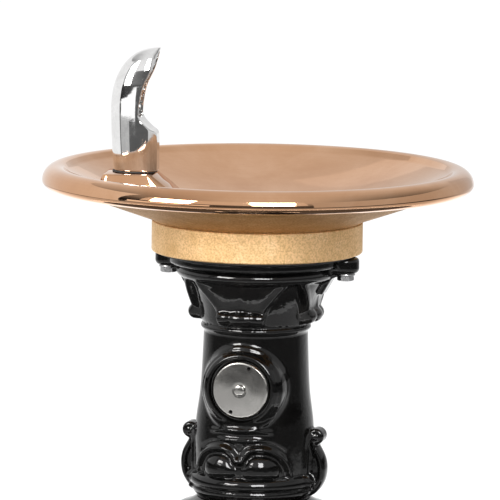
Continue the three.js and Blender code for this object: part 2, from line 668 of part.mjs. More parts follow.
function pushButton() {
  const outline = [
    [0, BUTTON_BACK], [BUTTON_R, BUTTON_BACK],
    [BUTTON_R, BUTTON_FRONT - 3.2], [BUTTON_R - 1.6, BUTTON_FRONT - 1.6],
    [16, BUTTON_FRONT - 0.6], [8, BUTTON_FRONT - 0.1], [0, BUTTON_FRONT],
  ];
  const holes = [[8, 19.5], [-8, -19.5]].map(([x, z]) =>
    solid(facingFront(rod(1.9, BUTTON_FRONT - 6, 60, 8)).translate(x, 0, z)));
  const screwHole = solid(facingFront(rod(2.8, 40, 60, 10)));
  return cut(solid(facingFront(turned(outline, 28))), screwHole, ...holes);
}

function buttonScrew() {
  const head = rod(4.8, BUTTON_FRONT + GAP, BUTTON_FRONT + 2, 16, 4);
  return join(solid(facingFront(head)), solid(facingFront(rod(2.4, BUTTON_BACK - 8, BUTTON_FRONT + 1, 10))));
}

const BONNET_FRONT = 30;
const BODY_FRONT = 22;

class Coil extends THREE.Curve {
  constructor(radius, from, to, turns) {
    super();
    Object.assign(this, { radius, from, to, turns });
  }

  getPoint(t, target = new THREE.Vector3()) {
    const angle = 2 * Math.PI * this.turns * t;
    const y = -(this.from + (this.to - this.from) * t);
    return target.set(this.radius * Math.cos(angle), y, this.radius * Math.sin(angle));
  }
}

function returnSpring() {
  const wire = new THREE.Shape(arc(0, 0, 0.9, 0.9, 0, 288, 4).map(([x, y]) => new THREE.Vector2(x, y)));
  const path = new Coil(8.2, BONNET_FRONT + 1.3, BUTTON_BACK - 1.3, 3.5);
  return new THREE.ExtrudeGeometry(wire, { steps: 36, bevelEnabled: false, extrudePath: path });
}

function valveStem() {
  const stem = rod(5, 8, BUTTON_BACK - GAP, 14);
  return cut(solid(facingFront(stem)), solid(facingFront(rod(2.8, BUTTON_BACK - 9, 50, 10))));
}

function valveBody() {
  const barrel = solid(facingFront(rod(13, -8, BODY_FRONT, 20)));
  const ports = solid(rod(8.5, -24, 24, 14).translate(0, VALVE_Y, 0));
  const bore = solid(facingFront(rod(5.4, 0, 30, 14)));
  const waterway = solid(rod(3.6, -30, 30, 10).translate(0, VALVE_Y, 0));
  return cut(join(barrel, ports), bore, waterway);
}

const SUPPLY_NUT_R = 9.6;

// A hexagonal nut around a supply tube.
function supplyNut(bottom, top) {
  const bore = rod(clearing(SUPPLY_R, 10), bottom - 1, top + 1, 10);
  return cut(solid(rod(SUPPLY_NUT_R, bottom, top, 6)), solid(bore));
}

function buttonSleeve() {
  return facingFront(ring([[26.4, 32], [26.4, 47], [27.8, 47], [27.8, 30], [20, 30], [20, 32]], 24));
}

function valveAssembly() {
  const group = new THREE.Group();
  group.position.z = BUTTON_Z;
  group.add(part('push_button', pushButton(), stainless));
  group.add(part('button_screw', buttonScrew(), stainless));
  group.add(part('button_sleeve', buttonSleeve(), steel));
  group.add(part('return_spring', returnSpring(), steel));
  group.add(part('valve_stem', valveStem(), stainless));
  group.add(part('valve_body', valveBody(), brass));
  const bonnet = cut(
    solid(facingFront(rod(13.8, BODY_FRONT + GAP, BONNET_FRONT, 6))),
    solid(facingFront(rod(5.5, 10, 40, 14))),
  );
  group.add(part('valve_bonnet', bonnet, brass));
  group.add(part('valve_bracket', box(-37.8, 37.8, 8.3, 11.3, -9, 9), steel));
  const nutReach = 24 + GAP;
  for (const [name, s] of [['valve_inlet_nut', -1], ['valve_outlet_nut', 1]]) {
    const [bottom, top] = [s * nutReach, s * (nutReach + 11)].sort((a, b) => a - b);
    group.add(at(part(name, supplyNut(bottom, top), brass), 0, VALVE_Y, 0));
  }
  return group;
}

// ---- supply and waste ----

function supplyStopBody() {
  const body = join(
    solid(rod(11, -20, 20, 16)),
    solid(facingRear(rod(8, 0, 18, 14))),
  );
  const waterway = solid(rod(4, -30, 30, 10));
  const stemHole = solid(facingRear(rod(3.6, 8, 30, 12)));
  return cut(body, waterway, stemHole);
}

function supplyStopHandle() {
  const lever = box(-5, 5, 18.6, 22.6, -6, 32); // in line with the pipe, so open
  return join(solid(lever), solid(facingRear(rod(3.2, 9, 20, 12))), solid(facingRear(rod(7, 18.6, 23.5, 16))));
}

function plumbing() {
  const group = new THREE.Group();
  const stopGroup = new THREE.Group();
  stopGroup.position.copy(STOP);
  stopGroup.add(part('supply_stop_body', supplyStopBody(), chrome));
  stopGroup.add(part('supply_stop_handle', supplyStopHandle(), chrome));
  stopGroup.add(part('stop_outlet_nut', supplyNut(20 + GAP, 30), brass));
  group.add(stopGroup);

  const riser = tubeRing(8, 5.5, 2, STOP.z - 20 - GAP, 16);
  group.add(at(part('supply_riser', riser, copper), STOP.x, STOP.y, 0));
  const lowerTube = pipe([
    [STOP.x, STOP.y, STOP.z + 20 + GAP], [STOP.x, STOP.y, 200], [-20, -16, 260], [-20, -16, 560],
    [0, VALVE_Y, 600], [0, VALVE_Y, BUTTON_Z - 24 - GAP],
  ], 20, SUPPLY_R, SUPPLY_BORE_R);
  group.add(part('supply_tube_lower', lowerTube, copper));

  const outlet = [-OUTLET_REACH * Math.cos(SPOUT_TURN), -OUTLET_REACH * Math.sin(SPOUT_TURN)];
  const outletZ = 783 - GAP;
  const upperTube = pipe([
    [0, VALVE_Y, BUTTON_Z + 24 + GAP], [0, VALVE_Y, 700], [...outlet, 755], [...outlet, outletZ],
  ], 18, SUPPLY_R, SUPPLY_BORE_R);
  group.add(part('supply_tube_upper', upperTube, copper));
  const nut = part('spout_supply_nut', supplyNut(outletZ - 11, outletZ), brass);
  group.add(at(nut, ...outlet, 0));

  const drainEnd = SEAT_Z - 28 - GAP;
  const trapTop = 196;
  const trapBottom = 76;
  const trapWide = 48;
  const tail = pipe([[0, 0, drainEnd], [0, 0, 742], [0, WASTE_Y, 706], [0, WASTE_Y, trapTop + GAP]],
    24, WASTE_R, WASTE_BORE_R);
  const trap = pipe([[0, WASTE_Y, trapTop], [0, WASTE_Y, trapBottom], [trapWide, WASTE_Y, trapBottom],
    [trapWide, WASTE_Y, 118]], TRAP_BEND, WASTE_R, WASTE_BORE_R);
  const drop = pipe([[trapWide, WASTE_Y, 118 + GAP], [trapWide, WASTE_Y, 165],
    [trapWide, WASTE_Y - 48, 165], [trapWide, WASTE_Y - 48, 2]], TRAP_BEND, WASTE_R, WASTE_BORE_R);
  group.add(part('waste_tailpiece', tail, chrome));
  group.add(part('waste_trap', trap, chrome));
  group.add(part('waste_drop', drop, chrome));
  const slipNut = (z) => tubeRing(WASTE_R + 4.5, clearing(WASTE_R, 12), z - 9, z + 9, 12);
  group.add(at(part('slip_nut_tailpiece', slipNut(trapTop), whitePlastic), 0, WASTE_Y, 0));
  group.add(at(part('slip_nut_trap', slipNut(118), whitePlastic), trapWide, WASTE_Y, 0));
  const coupling = tubeRing(DRAIN_R + 4, clearing(DRAIN_R, 12), SEAT_Z - 38, SEAT_Z - 22.5, 12);
  const floor = tubeRing(DRAIN_R + 4, clearing(WASTE_R, 12), SEAT_Z - 41, SEAT_Z - 38, 12);
  group.add(part('slip_nut_drain', join(solid(coupling), solid(floor)), brass));
  return group;
}

const fountain = new THREE.Group();
fountain.add(bowlAssembly(), spoutAssembly(), drainAssembly(), pedestalAssembly(), valveAssembly(), plumbing());

export default fountain;
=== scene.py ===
"""Looks for a pedestal drinking fountain: a polished bronze bowl and a chromed hooded spout on an
ornate, black enamelled cast-iron column with a push button. Lengths are millimetres until a mesh is made."""

import math

import bmesh
import bpy
import numpy as np
from mathutils import Matrix, Vector


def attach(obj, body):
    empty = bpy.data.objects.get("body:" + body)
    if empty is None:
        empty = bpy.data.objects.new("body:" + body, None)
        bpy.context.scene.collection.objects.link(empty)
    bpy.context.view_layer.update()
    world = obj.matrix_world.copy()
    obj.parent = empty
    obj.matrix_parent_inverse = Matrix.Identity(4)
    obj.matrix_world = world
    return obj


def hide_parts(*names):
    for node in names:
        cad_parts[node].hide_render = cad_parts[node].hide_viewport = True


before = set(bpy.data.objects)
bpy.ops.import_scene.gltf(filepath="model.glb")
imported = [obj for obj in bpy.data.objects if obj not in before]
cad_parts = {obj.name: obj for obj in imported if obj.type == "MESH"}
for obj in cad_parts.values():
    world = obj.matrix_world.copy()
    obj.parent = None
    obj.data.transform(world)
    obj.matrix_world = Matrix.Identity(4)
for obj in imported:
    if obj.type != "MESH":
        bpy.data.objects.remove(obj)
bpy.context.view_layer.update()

MM = 0.001
FOUNTAIN = "fountain"

# ---- driving dimensions, as in the CAD part ----

RIM_Z = 838.0
BOWL_R = 190.5
RIM_HALF_WIDTH = 13.0
RIM_TOP_HEIGHT = 13.0
RIM_UNDER_HEIGHT = 7.0
DISH_R = BOWL_R - RIM_HALF_WIDTH
DISH_DEPTH = 44.0
DISH_POWER = 2.2
DISH_WALL = 7.0
SEAT_R = 31.5
SEAT_DEPTH = 4.0
DRAIN_R = 19.0
DRAIN_BORE_R = 16.0
COLLAR_R = 93.3
COLLAR_INNER_R = 66.0
COLLAR_TOP = 790.5
COLLAR_BOTTOM = 763.3
FLANGE_TOP = 761.0
LUG_THICKNESS = 14.0
LUG_REACH = 93.0
LUG_WIDTH = 25.0
FLANGE_BOLT_R = 81.0
HEAD_BOTTOM = 543.6
SPIGOT_R = 43.5
NECK_R = 50.7
BUTTON_Z = 646.0
BUTTON_R = 25.8
BUTTON_BACK = 42.0
BOSS_R = 37.0
BOSS_BORE_R = 28.2
SHAFT_BOTTOM = 222.3
SHAFT_TOP = HEAD_BOTTOM - 0.3
SPOUT_REACH = 110.0
SPOUT_TURN = math.radians(8.5)
PAD_Z = 830.5
SPOUT_HALF_WIDTH = 17.0
SCREW_Z = 550.0
SHAFT_BOLT_R = 88.0
SHAFT_BOLTS = [(SHAFT_BOLT_R * math.cos(math.radians(a)), SHAFT_BOLT_R * math.sin(math.radians(a)))
               for a in (45, 135, 225, 315)]
ANCHORS = [(-100, -100), (100, -100), (100, 100), (-100, 100)]
NECK_SCREW_TURNS = (50, 130)


def dish_z(r):
    return RIM_Z - DISH_DEPTH * (1 - (r / DISH_R) ** DISH_POWER)


SEAT_Z = dish_z(SEAT_R) - SEAT_DEPTH
BOWL_FOOT = COLLAR_TOP + 0.3

# ---- outlines ----


def arc(cx, cy, rx, ry, start, end, steps):
    angles = [math.radians(start + (end - start) * i / steps) for i in range(steps + 1)]
    return [(cx + rx * math.cos(a), cy + ry * math.sin(a)) for a in angles]


def rounded(corners, radius, steps=4, ends=True):
    """A polygon with its corners turned into arcs. A corner may carry its own radius as a third number."""
    out = []
    count = len(corners)
    for i, corner in enumerate(corners):
        here = Vector(corner[:2])
        size = corner[2] if len(corner) > 2 else radius
        if not ends and i in (0, count - 1):
            out.append(tuple(here))
            continue
        back = Vector(corners[i - 1][:2]) - here
        on = Vector(corners[(i + 1) % count][:2]) - here
        half = back.angle(on) / 2
        if size <= 0 or half > math.radians(88):
            out.append(tuple(here))
            continue
        reach = min(size / math.tan(half), 0.45 * back.length, 0.45 * on.length)
        size = reach * math.tan(half)
        centre = here + (back.normalized() + on.normalized()).normalized() * size / math.sin(half)
        first = here + back.normalized() * reach - centre
        last = here + on.normalized() * reach - centre
        for k in range(steps + 1):
            way = first.lerp(last, k / steps).normalized() * size
            out.append(tuple(centre + way))
    return out


def through(points, per_span=6):
    """A smooth open curve through the points (Catmull-Rom)."""
    p = [np.array(q, float) for q in points]
    p = [2 * p[0] - p[1], *p, 2 * p[-1] - p[-2]]
    out = []
    for i in range(1, len(p) - 2):
        for k in range(per_span):
            t = k / per_span
            out.append(0.5 * (2 * p[i] + (p[i + 1] - p[i - 1]) * t
                              + (2 * p[i - 1] - 5 * p[i] + 4 * p[i + 1] - p[i + 2]) * t**2
                              + (3 * p[i] - p[i - 1] - 3 * p[i + 1] + p[i + 2]) * t**3))
    out.append(p[-2])
    return [tuple(float(x) for x in q) for q in out]


def spaced(points, step):
    """The same open line with no stretch longer than the step."""
    out = [points[0]]
    for a, b in zip(points, points[1:]):
        parts = max(1, math.ceil(math.dist(a, b) / step))
        out += [tuple(np.array(a) + (np.array(b) - np.array(a)) * k / parts) for k in range(1, parts + 1)]
    return out


# ---- meshes ----


def mesh_from(name, mesh):
    made = bpy.data.objects.new(name, mesh)
    bpy.context.scene.collection.objects.link(made)
    return made


def weld(piece, distance=1e-6):
    work = bmesh.new()
    work.from_mesh(piece.data)
    bmesh.ops.remove_doubles(work, verts=work.verts, dist=distance)
    bmesh.ops.recalc_face_normals(work, faces=work.faces)
    work.to_mesh(piece.data)
    work.free()
    return piece


def mesh_object(name, vertices, faces, scale=MM):
    mesh = bpy.data.meshes.new(name)
    mesh.from_pydata([tuple(c * scale for c in v) for v in vertices], [], faces)
    return weld(mesh_from(name, mesh), 1e-7)


def grid_faces(rows, columns, close_rows):
    faces = []
    for i in range(rows if close_rows else rows - 1):
        j = (i + 1) % rows
        for k in range(columns):
            n = (k + 1) % columns
            faces.append((i * columns + k, i * columns + n, j * columns + n, j * columns + k))
    return faces


def lathe(name, outline, segments=128, closed=True):
    """A body turned about Z from (radius, height) points. An open outline off the axis makes a sheet."""
    angles = [2 * math.pi * k / segments for k in range(segments)]
    vertices = [(r * math.cos(a), r * math.sin(a), z) for r, z in outline for a in angles]
    return mesh_object(name, vertices, grid_faces(len(outline), segments, closed))


def prism(name, outline, low, high):
    """An (x, y) outline from z = low to z = high."""
    count = len(outline)
    vertices = [(x, y, z) for z in (low, high) for x, y in outline]
    faces = grid_faces(2, count, False) + [tuple(range(count)), tuple(range(count, 2 * count))]
    return mesh_object(name, vertices, faces)


def side_prism(name, outline, half_width):
    """An (x, z) outline given a thickness along Y."""
    return facing_front(prism(name, outline, -half_width, half_width))


def loft(name, sections):
    count = len(sections[0])
    vertices = [p for s in sections for p in s]
    faces = grid_faces(len(sections), count, False)
    faces += [tuple(range(count)), tuple(range(len(vertices) - count, len(vertices)))]
    return mesh_object(name, vertices, faces)


def flat_plate(name, loops, thickness, edge=0.3):
    """A plate in the XY plane with holes and softened edges. The first loop is its outside."""
    curve = bpy.data.curves.new(name, "CURVE")
    curve.dimensions = "2D"
    curve.fill_mode = "BOTH"
    curve.extrude = (thickness / 2 - edge) * MM
    curve.bevel_depth = edge * MM
    curve.bevel_resolution = 2
    curve.offset = -edge * MM
    for loop in loops:
        spline = curve.splines.new("POLY")
        spline.points.add(len(loop) - 1)
        for point, (x, y) in zip(spline.points, loop):
            point.co = (x * MM, y * MM, 0, 1)
        spline.use_cyclic_u = True
    holder = bpy.data.objects.new(name, curve)
    bpy.context.scene.collection.objects.link(holder)
    bpy.context.view_layer.update()
    mesh = bpy.data.meshes.new_from_object(holder.evaluated_get(bpy.context.evaluated_depsgraph_get()))
    bpy.data.objects.remove(holder)
    return shifted(weld(mesh_from(name, mesh)), 0, 0, thickness / 2)


def settle(piece):
    """Makes the piece's modifiers part of its mesh."""
    bpy.context.view_layer.update()
    graph = bpy.context.evaluated_depsgraph_get()
    mesh = bpy.data.meshes.new_from_object(piece.evaluated_get(graph))
    piece.modifiers.clear()
    old, piece.data = piece.data, mesh
    bpy.data.meshes.remove(old)
    return piece


def combine(piece, *others, operation="UNION"):
    for other in others:
        step = piece.modifiers.new("combine", "BOOLEAN")
        step.object, step.operation, step.solver = other, operation, "MANIFOLD"
        settle(piece)
        bpy.data.objects.remove(other)
        if not piece.data.polygons:
            raise RuntimeError(f"{piece.name} came out empty")
    piece.data.materials.clear()  # the solver adds an empty slot in front
    return piece


def carve(piece, *tools):
    return combine(piece, *tools, operation="DIFFERENCE")


def heap(name, pieces):
    """Several closed bodies as one mesh, still overlapping."""
    work = bmesh.new()
    for piece in pieces:
        work.from_mesh(piece.data)
        bpy.data.objects.remove(piece)
    mesh = bpy.data.meshes.new(name)
    work.to_mesh(mesh)
    work.free()
    return mesh_from(name, mesh)


def cast(piece, voxel, smoothing):
    """One skin round a heap of bodies, with the soft edges of a casting."""
    skin = piece.modifiers.new("skin", "REMESH")
    skin.mode, skin.voxel_size, skin.use_smooth_shade = "VOXEL", voxel * MM, True
    soften = piece.modifiers.new("soften", "SMOOTH")
    soften.factor, soften.iterations = 0.5, smoothing
    return settle(piece)


def moved(piece, matrix):
    piece.data.transform(matrix)
    if matrix.determinant() < 0:
        piece.data.flip_normals()
    return piece


def shifted(piece, x, y, z):
    return moved(piece, Matrix.Translation((x * MM, y * MM, z * MM)))


def spun(piece, degrees, axis="Z"):
    return moved(piece, Matrix.Rotation(math.radians(degrees), 4, axis))


def facing_front(piece):
    """Turns a piece made about Z to point along -Y."""
    return spun(piece, 90, "X")


def facing_rear(piece):
    return spun(piece, -90, "X")


def smooth(piece, angle=35):
    piece.data.shade_smooth()
    piece.data.set_sharp_from_angle(angle=math.radians(angle))
    return piece


def rod(name, radius, low, high, segments=48, edge=0.4):
    """A round bar with softened ends."""
    outline = [(0, low), (radius - edge, low), (radius, low + edge), (radius, high - edge),
               (radius - edge, high), (0, high)]
    return lathe(name, outline, segments, closed=False)


# ---- materials ----


class Graph:
    """A node tree, with short names for the nodes that it uses."""

    def __init__(self, tree):
        self.tree = tree

    def node(self, kind, settings=(), **inputs):
        made = self.tree.nodes.new(kind)
        for key, value in settings:
            setattr(made, key, value)
        for key, value in inputs.items():
            self.feed(made.inputs[key.replace("_", " ")], value)
        return made

    def feed(self, socket, value):
        if isinstance(value, bpy.types.NodeSocket):
            self.tree.links.new(value, socket)
        else:
            socket.default_value = value

    def level(self, value, low, high, to_low, to_high):
        return self.node("ShaderNodeMapRange", Value=value, From_Min=low, From_Max=high, To_Min=to_low,
                         To_Max=to_high).outputs["Result"]

    def calculate(self, a, b, operation="ADD"):
        made = self.node("ShaderNodeMath", [("operation", operation)])
        self.feed(made.inputs[0], a)
        self.feed(made.inputs[1], b)
        return made.outputs[0]

    def vector(self, operation, *values):
        made = self.node("ShaderNodeVectorMath", [("operation", operation)])
        for socket, value in zip(made.inputs, values):
            self.feed(socket, value)
        return made


class Surface(Graph):
    """A material about the piece's own frame."""

    def __init__(self, name, **sockets):
        self.material = bpy.data.materials.new(name)
        self.material.use_nodes = True
        super().__init__(self.material.node_tree)
        self.shader = self.tree.nodes["Principled BSDF"]
        for socket, value in sockets.items():
            self.shader.inputs[socket.replace("_", " ")].default_value = value
        self.place = self.node("ShaderNodeTexCoord").outputs["Object"]

    def noise(self, scale, detail=3.0, roughness=0.5, distortion=0.0, place=None):
        return self.node("ShaderNodeTexNoise", Vector=place or self.place, Scale=scale, Detail=detail,
                         Roughness=roughness, Distortion=distortion).outputs["Fac"]

    def cells(self, scale):
        return self.node("ShaderNodeTexVoronoi", Vector=self.place, Scale=scale).outputs["Distance"]

    def colours(self, value, *stops):
        made = self.node("ShaderNodeValToRGB", Fac=value)
        ramp = made.color_ramp
        while len(ramp.elements) < len(stops):
            ramp.elements.new(0.5)
        for element, (position, colour) in zip(ramp.elements, stops):
            element.position, element.color = position, (*colour, 1)
        return made.outputs["Color"]

    def blend(self, share, a, b):
        made = self.node("ShaderNodeMix", [("data_type", "RGBA")])
        for socket, value in zip([made.inputs[0], made.inputs[6], made.inputs[7]], (share, a, b)):
            self.feed(socket, (*value, 1) if isinstance(value, tuple) else value)
        return made.outputs[2]

    def bump(self, height, distance_mm, strength=1.0):
        made = self.node("ShaderNodeBump", Height=height, Distance=distance_mm * MM, Strength=strength)
        previous = self.shader.inputs["Normal"].links
        if previous:
            self.tree.links.new(previous[0].from_socket, made.inputs["Normal"])
        self.tree.links.new(made.outputs["Normal"], self.shader.inputs["Normal"])

    def rings(self, scale, axis):
        """Fine lines in circles about an axis of the piece's own frame, as a polishing wheel leaves."""
        mask = [0 if a == axis else 1 for a in "XYZ"]
        radius = self.vector("LENGTH", self.vector("MULTIPLY", self.place, mask).outputs[0]).outputs["Value"]
        line = self.node("ShaderNodeTexNoise", [("noise_dimensions", "1D")],
                         W=self.calculate(radius, scale, "MULTIPLY"), Scale=1.0, Detail=3.0)
        return line.outputs["Fac"]

    def base(self, colour):
        self.feed(self.shader.inputs["Base Color"], colour)

    def roughness(self, value):
        self.feed(self.shader.inputs["Roughness"], value)


def polished_bronze():
    s = Surface("polished_bronze", Metallic=1.0)
    warm = s.colours(s.noise(16, 5, 0.6, 0.4), (0.30, (0.58, 0.315, 0.172)), (0.52, (0.65, 0.375, 0.218)),
                     (0.75, (0.72, 0.44, 0.275)))
    s.base(s.blend(s.level(s.rings(900, "Z"), 0.35, 0.75, 0.0, 0.12), warm, (0.52, 0.28, 0.155)))
    smears = s.level(s.noise(38, 6, 0.65, 0.8), 0.45, 0.75, 0.022, 0.085)
    s.roughness(s.calculate(smears, s.level(s.rings(2600, "Z"), 0.3, 0.7, 0.0, 0.02)))
    s.bump(s.noise(14, 2), 0.45, 0.22)
    s.bump(s.rings(1800, "Z"), 0.008, 0.4)
    return s.material


def rough_bronze(name, painted_shade):
    """As-cast bronze. The second argument scales its red, green and blue, so that a darker, warmer copy of the
    same bronze can stand for painted shade.
    """
    s = Surface(name, Metallic=1.0)
    grain = s.noise(620, 3, 0.6)
    patch = s.noise(45, 5, 0.6)
    deep, middle, pale, pits = (tuple(k * c for k, c in zip(painted_shade, colour)) for colour in (
        (0.74, 0.49, 0.235), (0.87, 0.61, 0.33), (0.95, 0.73, 0.45), (0.46, 0.275, 0.11)))
    tone = s.colours(patch, (0.30, deep), (0.55, middle), (0.75, pale))
    s.base(s.blend(s.level(grain, 0.38, 0.58, 0.5, 0.0), tone, pits))
    s.roughness(s.level(grain, 0.3, 0.7, 0.68, 0.52))
    s.bump(s.noise(130, 4), 0.35, 0.6)
    s.bump(grain, 0.22, 0.8)
    s.bump(s.cells(420), 0.12, 0.4)
    return s.material


def black_enamel():
    s = Surface("black_enamel", Specular_IOR_Level=0.42)
    dust = s.noise(26, 6, 0.65, 0.3)
    s.base(s.colours(dust, (0.35, (0.0012, 0.0012, 0.0012)), (0.62, (0.0022, 0.0021, 0.0020)),
                     (0.82, (0.0075, 0.0068, 0.0060))))
    specks = s.level(s.noise(700, 2), 0.55, 0.75, 0.0, 0.07)
    s.roughness(s.calculate(s.level(dust, 0.35, 0.8, 0.05, 0.13), specks))
    s.bump(s.noise(42, 3, 0.55), 1.1, 0.35)
    s.bump(s.noise(210, 2), 0.24, 0.55)
    s.bump(s.noise(800, 1), 0.02, 0.4)
    return s.material


def chrome():
    s = Surface("chrome", Metallic=1.0)
    haze = s.noise(60, 6, 0.7, 0.6)
    s.base(s.colours(haze, (0.30, (0.74, 0.735, 0.73)), (0.60, (0.88, 0.875, 0.87))))
    s.roughness(s.level(haze, 0.40, 0.75, 0.03, 0.10))
    s.bump(s.noise(55, 2), 0.22, 0.2)
    s.bump(s.noise(900, 2), 0.004, 0.6)
    return s.material


def turned_metal(name, dark, light, roughness, axis):
    s = Surface(name, Metallic=1.0)
    lines = s.rings(5200, axis)
    stain = s.noise(120, 6, 0.65, 0.5)
    s.base(s.blend(s.level(stain, 0.45, 0.75, 0.0, 0.45), s.colours(lines, (0.25, dark), (0.75, light)), dark))
    s.roughness(s.calculate(s.level(stain, 0.3, 0.75, roughness - 0.05, roughness + 0.09),
                      s.level(lines, 0.3, 0.7, 0.0, 0.07)))
    s.bump(lines, 0.02, 0.55)
    s.bump(stain, 0.04, 0.3)
    return s.material


def plain_metal(name, dark, light, roughness, grain_mm=0.05):
    """Drawn or cast metal with a patchy tarnish and a fine tooth."""
    s = Surface(name, Metallic=1.0)
    patch = s.noise(70, 6, 0.65, 0.4)
    s.base(s.colours(patch, (0.30, dark), (0.70, light)))
    s.roughness(s.calculate(s.level(patch, 0.3, 0.75, roughness + 0.10, roughness - 0.05),
                      s.level(s.noise(1500, 2), 0.35, 0.7, 0.0, 0.08)))
    s.bump(s.noise(450, 3, 0.6), grain_mm, 0.6)
    return s.material


def dull(name, dark, light, roughness, grain, bump_mm):
    """Rubber or plastic with a soft mottle."""
    s = Surface(name)
    patch = s.noise(90, 5, 0.6)
    s.base(s.colours(patch, (0.30, dark), (0.75, light)))
    s.roughness(s.level(s.noise(grain, 3), 0.3, 0.75, roughness - 0.08, roughness + 0.08))
    s.bump(s.noise(grain, 3), bump_mm, 0.6)
    return s.material


FINISH = {
    "polished_bronze": polished_bronze(),
    "rough_bronze": rough_bronze("rough_bronze", (1.0, 1.0, 1.0)),
    "black_enamel": black_enamel(),
    "chrome": chrome(),
    "stainless": turned_metal("stainless", (0.30, 0.285, 0.26), (0.50, 0.48, 0.45), 0.27, "Z"),
    "brass": plain_metal("brass", (0.40, 0.26, 0.10), (0.66, 0.47, 0.20), 0.28),
    "copper": plain_metal("copper", (0.38, 0.15, 0.08), (0.72, 0.36, 0.22), 0.28),
    "steel": plain_metal("steel", (0.36, 0.36, 0.36), (0.66, 0.66, 0.67), 0.24, 0.06),
    "rubber": dull("rubber", (0.006, 0.006, 0.006), (0.022, 0.021, 0.020), 0.72, 900, 0.05),
    "white_plastic": dull("white_plastic", (0.60, 0.59, 0.55), (0.74, 0.73, 0.69), 0.42, 600, 0.02),
}


def place(piece, nodes, slot, body=FOUNTAIN, material=None):
    """Gives a finished piece its material and its body, and hides the CAD nodes that it stands for."""
    if material is not False:
        piece.data.materials.clear()
        piece.data.materials.append(material or FINISH[slot])
    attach(piece, body)
    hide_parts(*([nodes] if isinstance(nodes, str) else nodes))
    return piece


# ---- bowl ----


def pad_sections():
    """The spout's mounting pad, level on top, running down its draft into the dish."""
    back, front, half = -25.7, 19.2, 25.0
    plan = rounded([(back, -half), (front, -half), (front, half), (back, half)], 5.0, 5)
    sections = []
    for inset, drop in ((1.6, 0.0), (0.5, 0.5), (0.0, 1.6)):
        sections.append([(x * (1 - inset / 25), y * (1 - inset / 25), -drop) for x, y in plan])
    slopes = []
    for x, y in plan:
        along = 1.11 * max(0.0, (x - front + 5) / 5) - 0.32 * max(0.0, (back + 5 - x) / 5)
        slopes.append((along, 0.17 * y / half))

    def buried(x, y, drop):
        return PAD_Z - drop < dish_z(math.hypot(x - SPOUT_REACH, y)) - 3.0

    ends = []
    for (x, y), (dx, dy) in zip(plan, slopes):
        drop = 1.6
        while drop < 38 and not buried(x + dx * drop, y + dy * drop, drop):
            drop += 0.25
        ends.append(drop)
    for share in (0.25, 0.5, 0.75, 1.0):
        sections.append([(x + dx * (1.6 + (e - 1.6) * share), y + dy * (1.6 + (e - 1.6) * share),
                          -(1.6 + (e - 1.6) * share)) for (x, y), (dx, dy), e in zip(plan, slopes, ends)])
    return sections


SPOUT_FRAME = (Matrix.Translation((-SPOUT_REACH * math.cos(SPOUT_TURN) * MM,
                                   -SPOUT_REACH * math.sin(SPOUT_TURN) * MM, PAD_Z * MM))
               @ Matrix.Rotation(SPOUT_TURN, 4, "Z"))


def build_bowl():
    dish = [(r, dish_z(r)) for r in np.linspace(SEAT_R, DISH_R - 9, 44)]
    rim_z = RIM_Z - RIM_TOP_HEIGHT
    top = arc(DISH_R, rim_z, RIM_HALF_WIDTH, RIM_TOP_HEIGHT, 118, 0, 26)
    under = arc(DISH_R, rim_z, RIM_HALF_WIDTH, RIM_UNDER_HEIGHT, -8, -112, 14)
    back = spaced([(171, 819.4), (COLLAR_R + 0.6, BOWL_FOOT + 1.4)], 6)
    foot = rounded([(COLLAR_R + 0.3, BOWL_FOOT + 1.2), (COLLAR_R - 0.6, BOWL_FOOT), (70, BOWL_FOOT),
                    (68, dish_z(68) - DISH_WALL), (40, dish_z(40) - DISH_WALL), (38, SEAT_Z - DISH_WALL),
                    (DRAIN_R + 0.3, SEAT_Z - DISH_WALL), (DRAIN_R + 0.3, SEAT_Z), (SEAT_R, SEAT_Z)],
                   0.5, 2, ends=False)
    piece = lathe("bowl_cast", dish + top + under + back + foot, 224)
    pad = moved(loft("pad", pad_sections()), SPOUT_FRAME)
    boss = moved(shifted(rod("boss", 9, -47.5, -33), SPOUT_REACH - 52, 0, 0), SPOUT_FRAME)
    combine(piece, pad, boss)
    piece.data.materials.append(FINISH["polished_bronze"])
    # The underside is as-cast bronze in a darker, warmer copy: painted shade under the overhanging bowl.
    piece.data.materials.append(rough_bronze("rough_bronze_underside_painted_shade", (0.70, 0.59, 0.48)))
    rough_and_painted_shade_below = rim_z - RIM_UNDER_HEIGHT + 1.2
    # Downward faces under the rim take the rough bronze with the painted shade.
    for face in piece.data.polygons:
        radius = math.hypot(face.center.x, face.center.y) / MM
        height = face.center.z / MM
        underside = face.normal.z < 0.2 and radius < 177 and height < rough_and_painted_shade_below
        face.material_index = 1 if underside and radius > SEAT_R + 3 else 0
    smooth(piece, 38)
    return place(piece, "bowl", "polished_bronze", material=False)


def build_collar():
    outline = rounded([(COLLAR_INNER_R, COLLAR_BOTTOM), (COLLAR_R, COLLAR_BOTTOM), (COLLAR_R, COLLAR_TOP),
                       (COLLAR_INNER_R, COLLAR_TOP)], 1.4, 5)
    place(smooth(lathe("collar_cast", outline, 192)), "bowl_collar", "rough_bronze")
    low = FLANGE_TOP + 0.3
    gasket = rounded([(60, low), (88, low), (88, low + 1.7), (60, low + 1.7)], 0.5, 3)
    place(smooth(lathe("collar_seal", gasket, 128)), "collar_gasket", "rubber")


# ---- fasteners ----


def hexagon(radius):
    return [(radius * math.cos(math.radians(60 * k)), radius * math.sin(math.radians(60 * k))) for k in range(6)]


def hex_head(name, radius, height):
    """A hexagonal head standing on z = 0, its top corners turned off round."""
    head = prism(name, hexagon(radius), 0, height)
    flat = radius * math.cos(math.radians(30))
    turned = [(0, -0.5), (radius + 1, -0.5), (radius + 1, height - 0.32 * (radius + 1 - flat) - 0.5),
              (flat - 0.3, height), (0, height)]
    return combine(head, lathe(name + "_turned", turned, 64, closed=False), operation="INTERSECT")


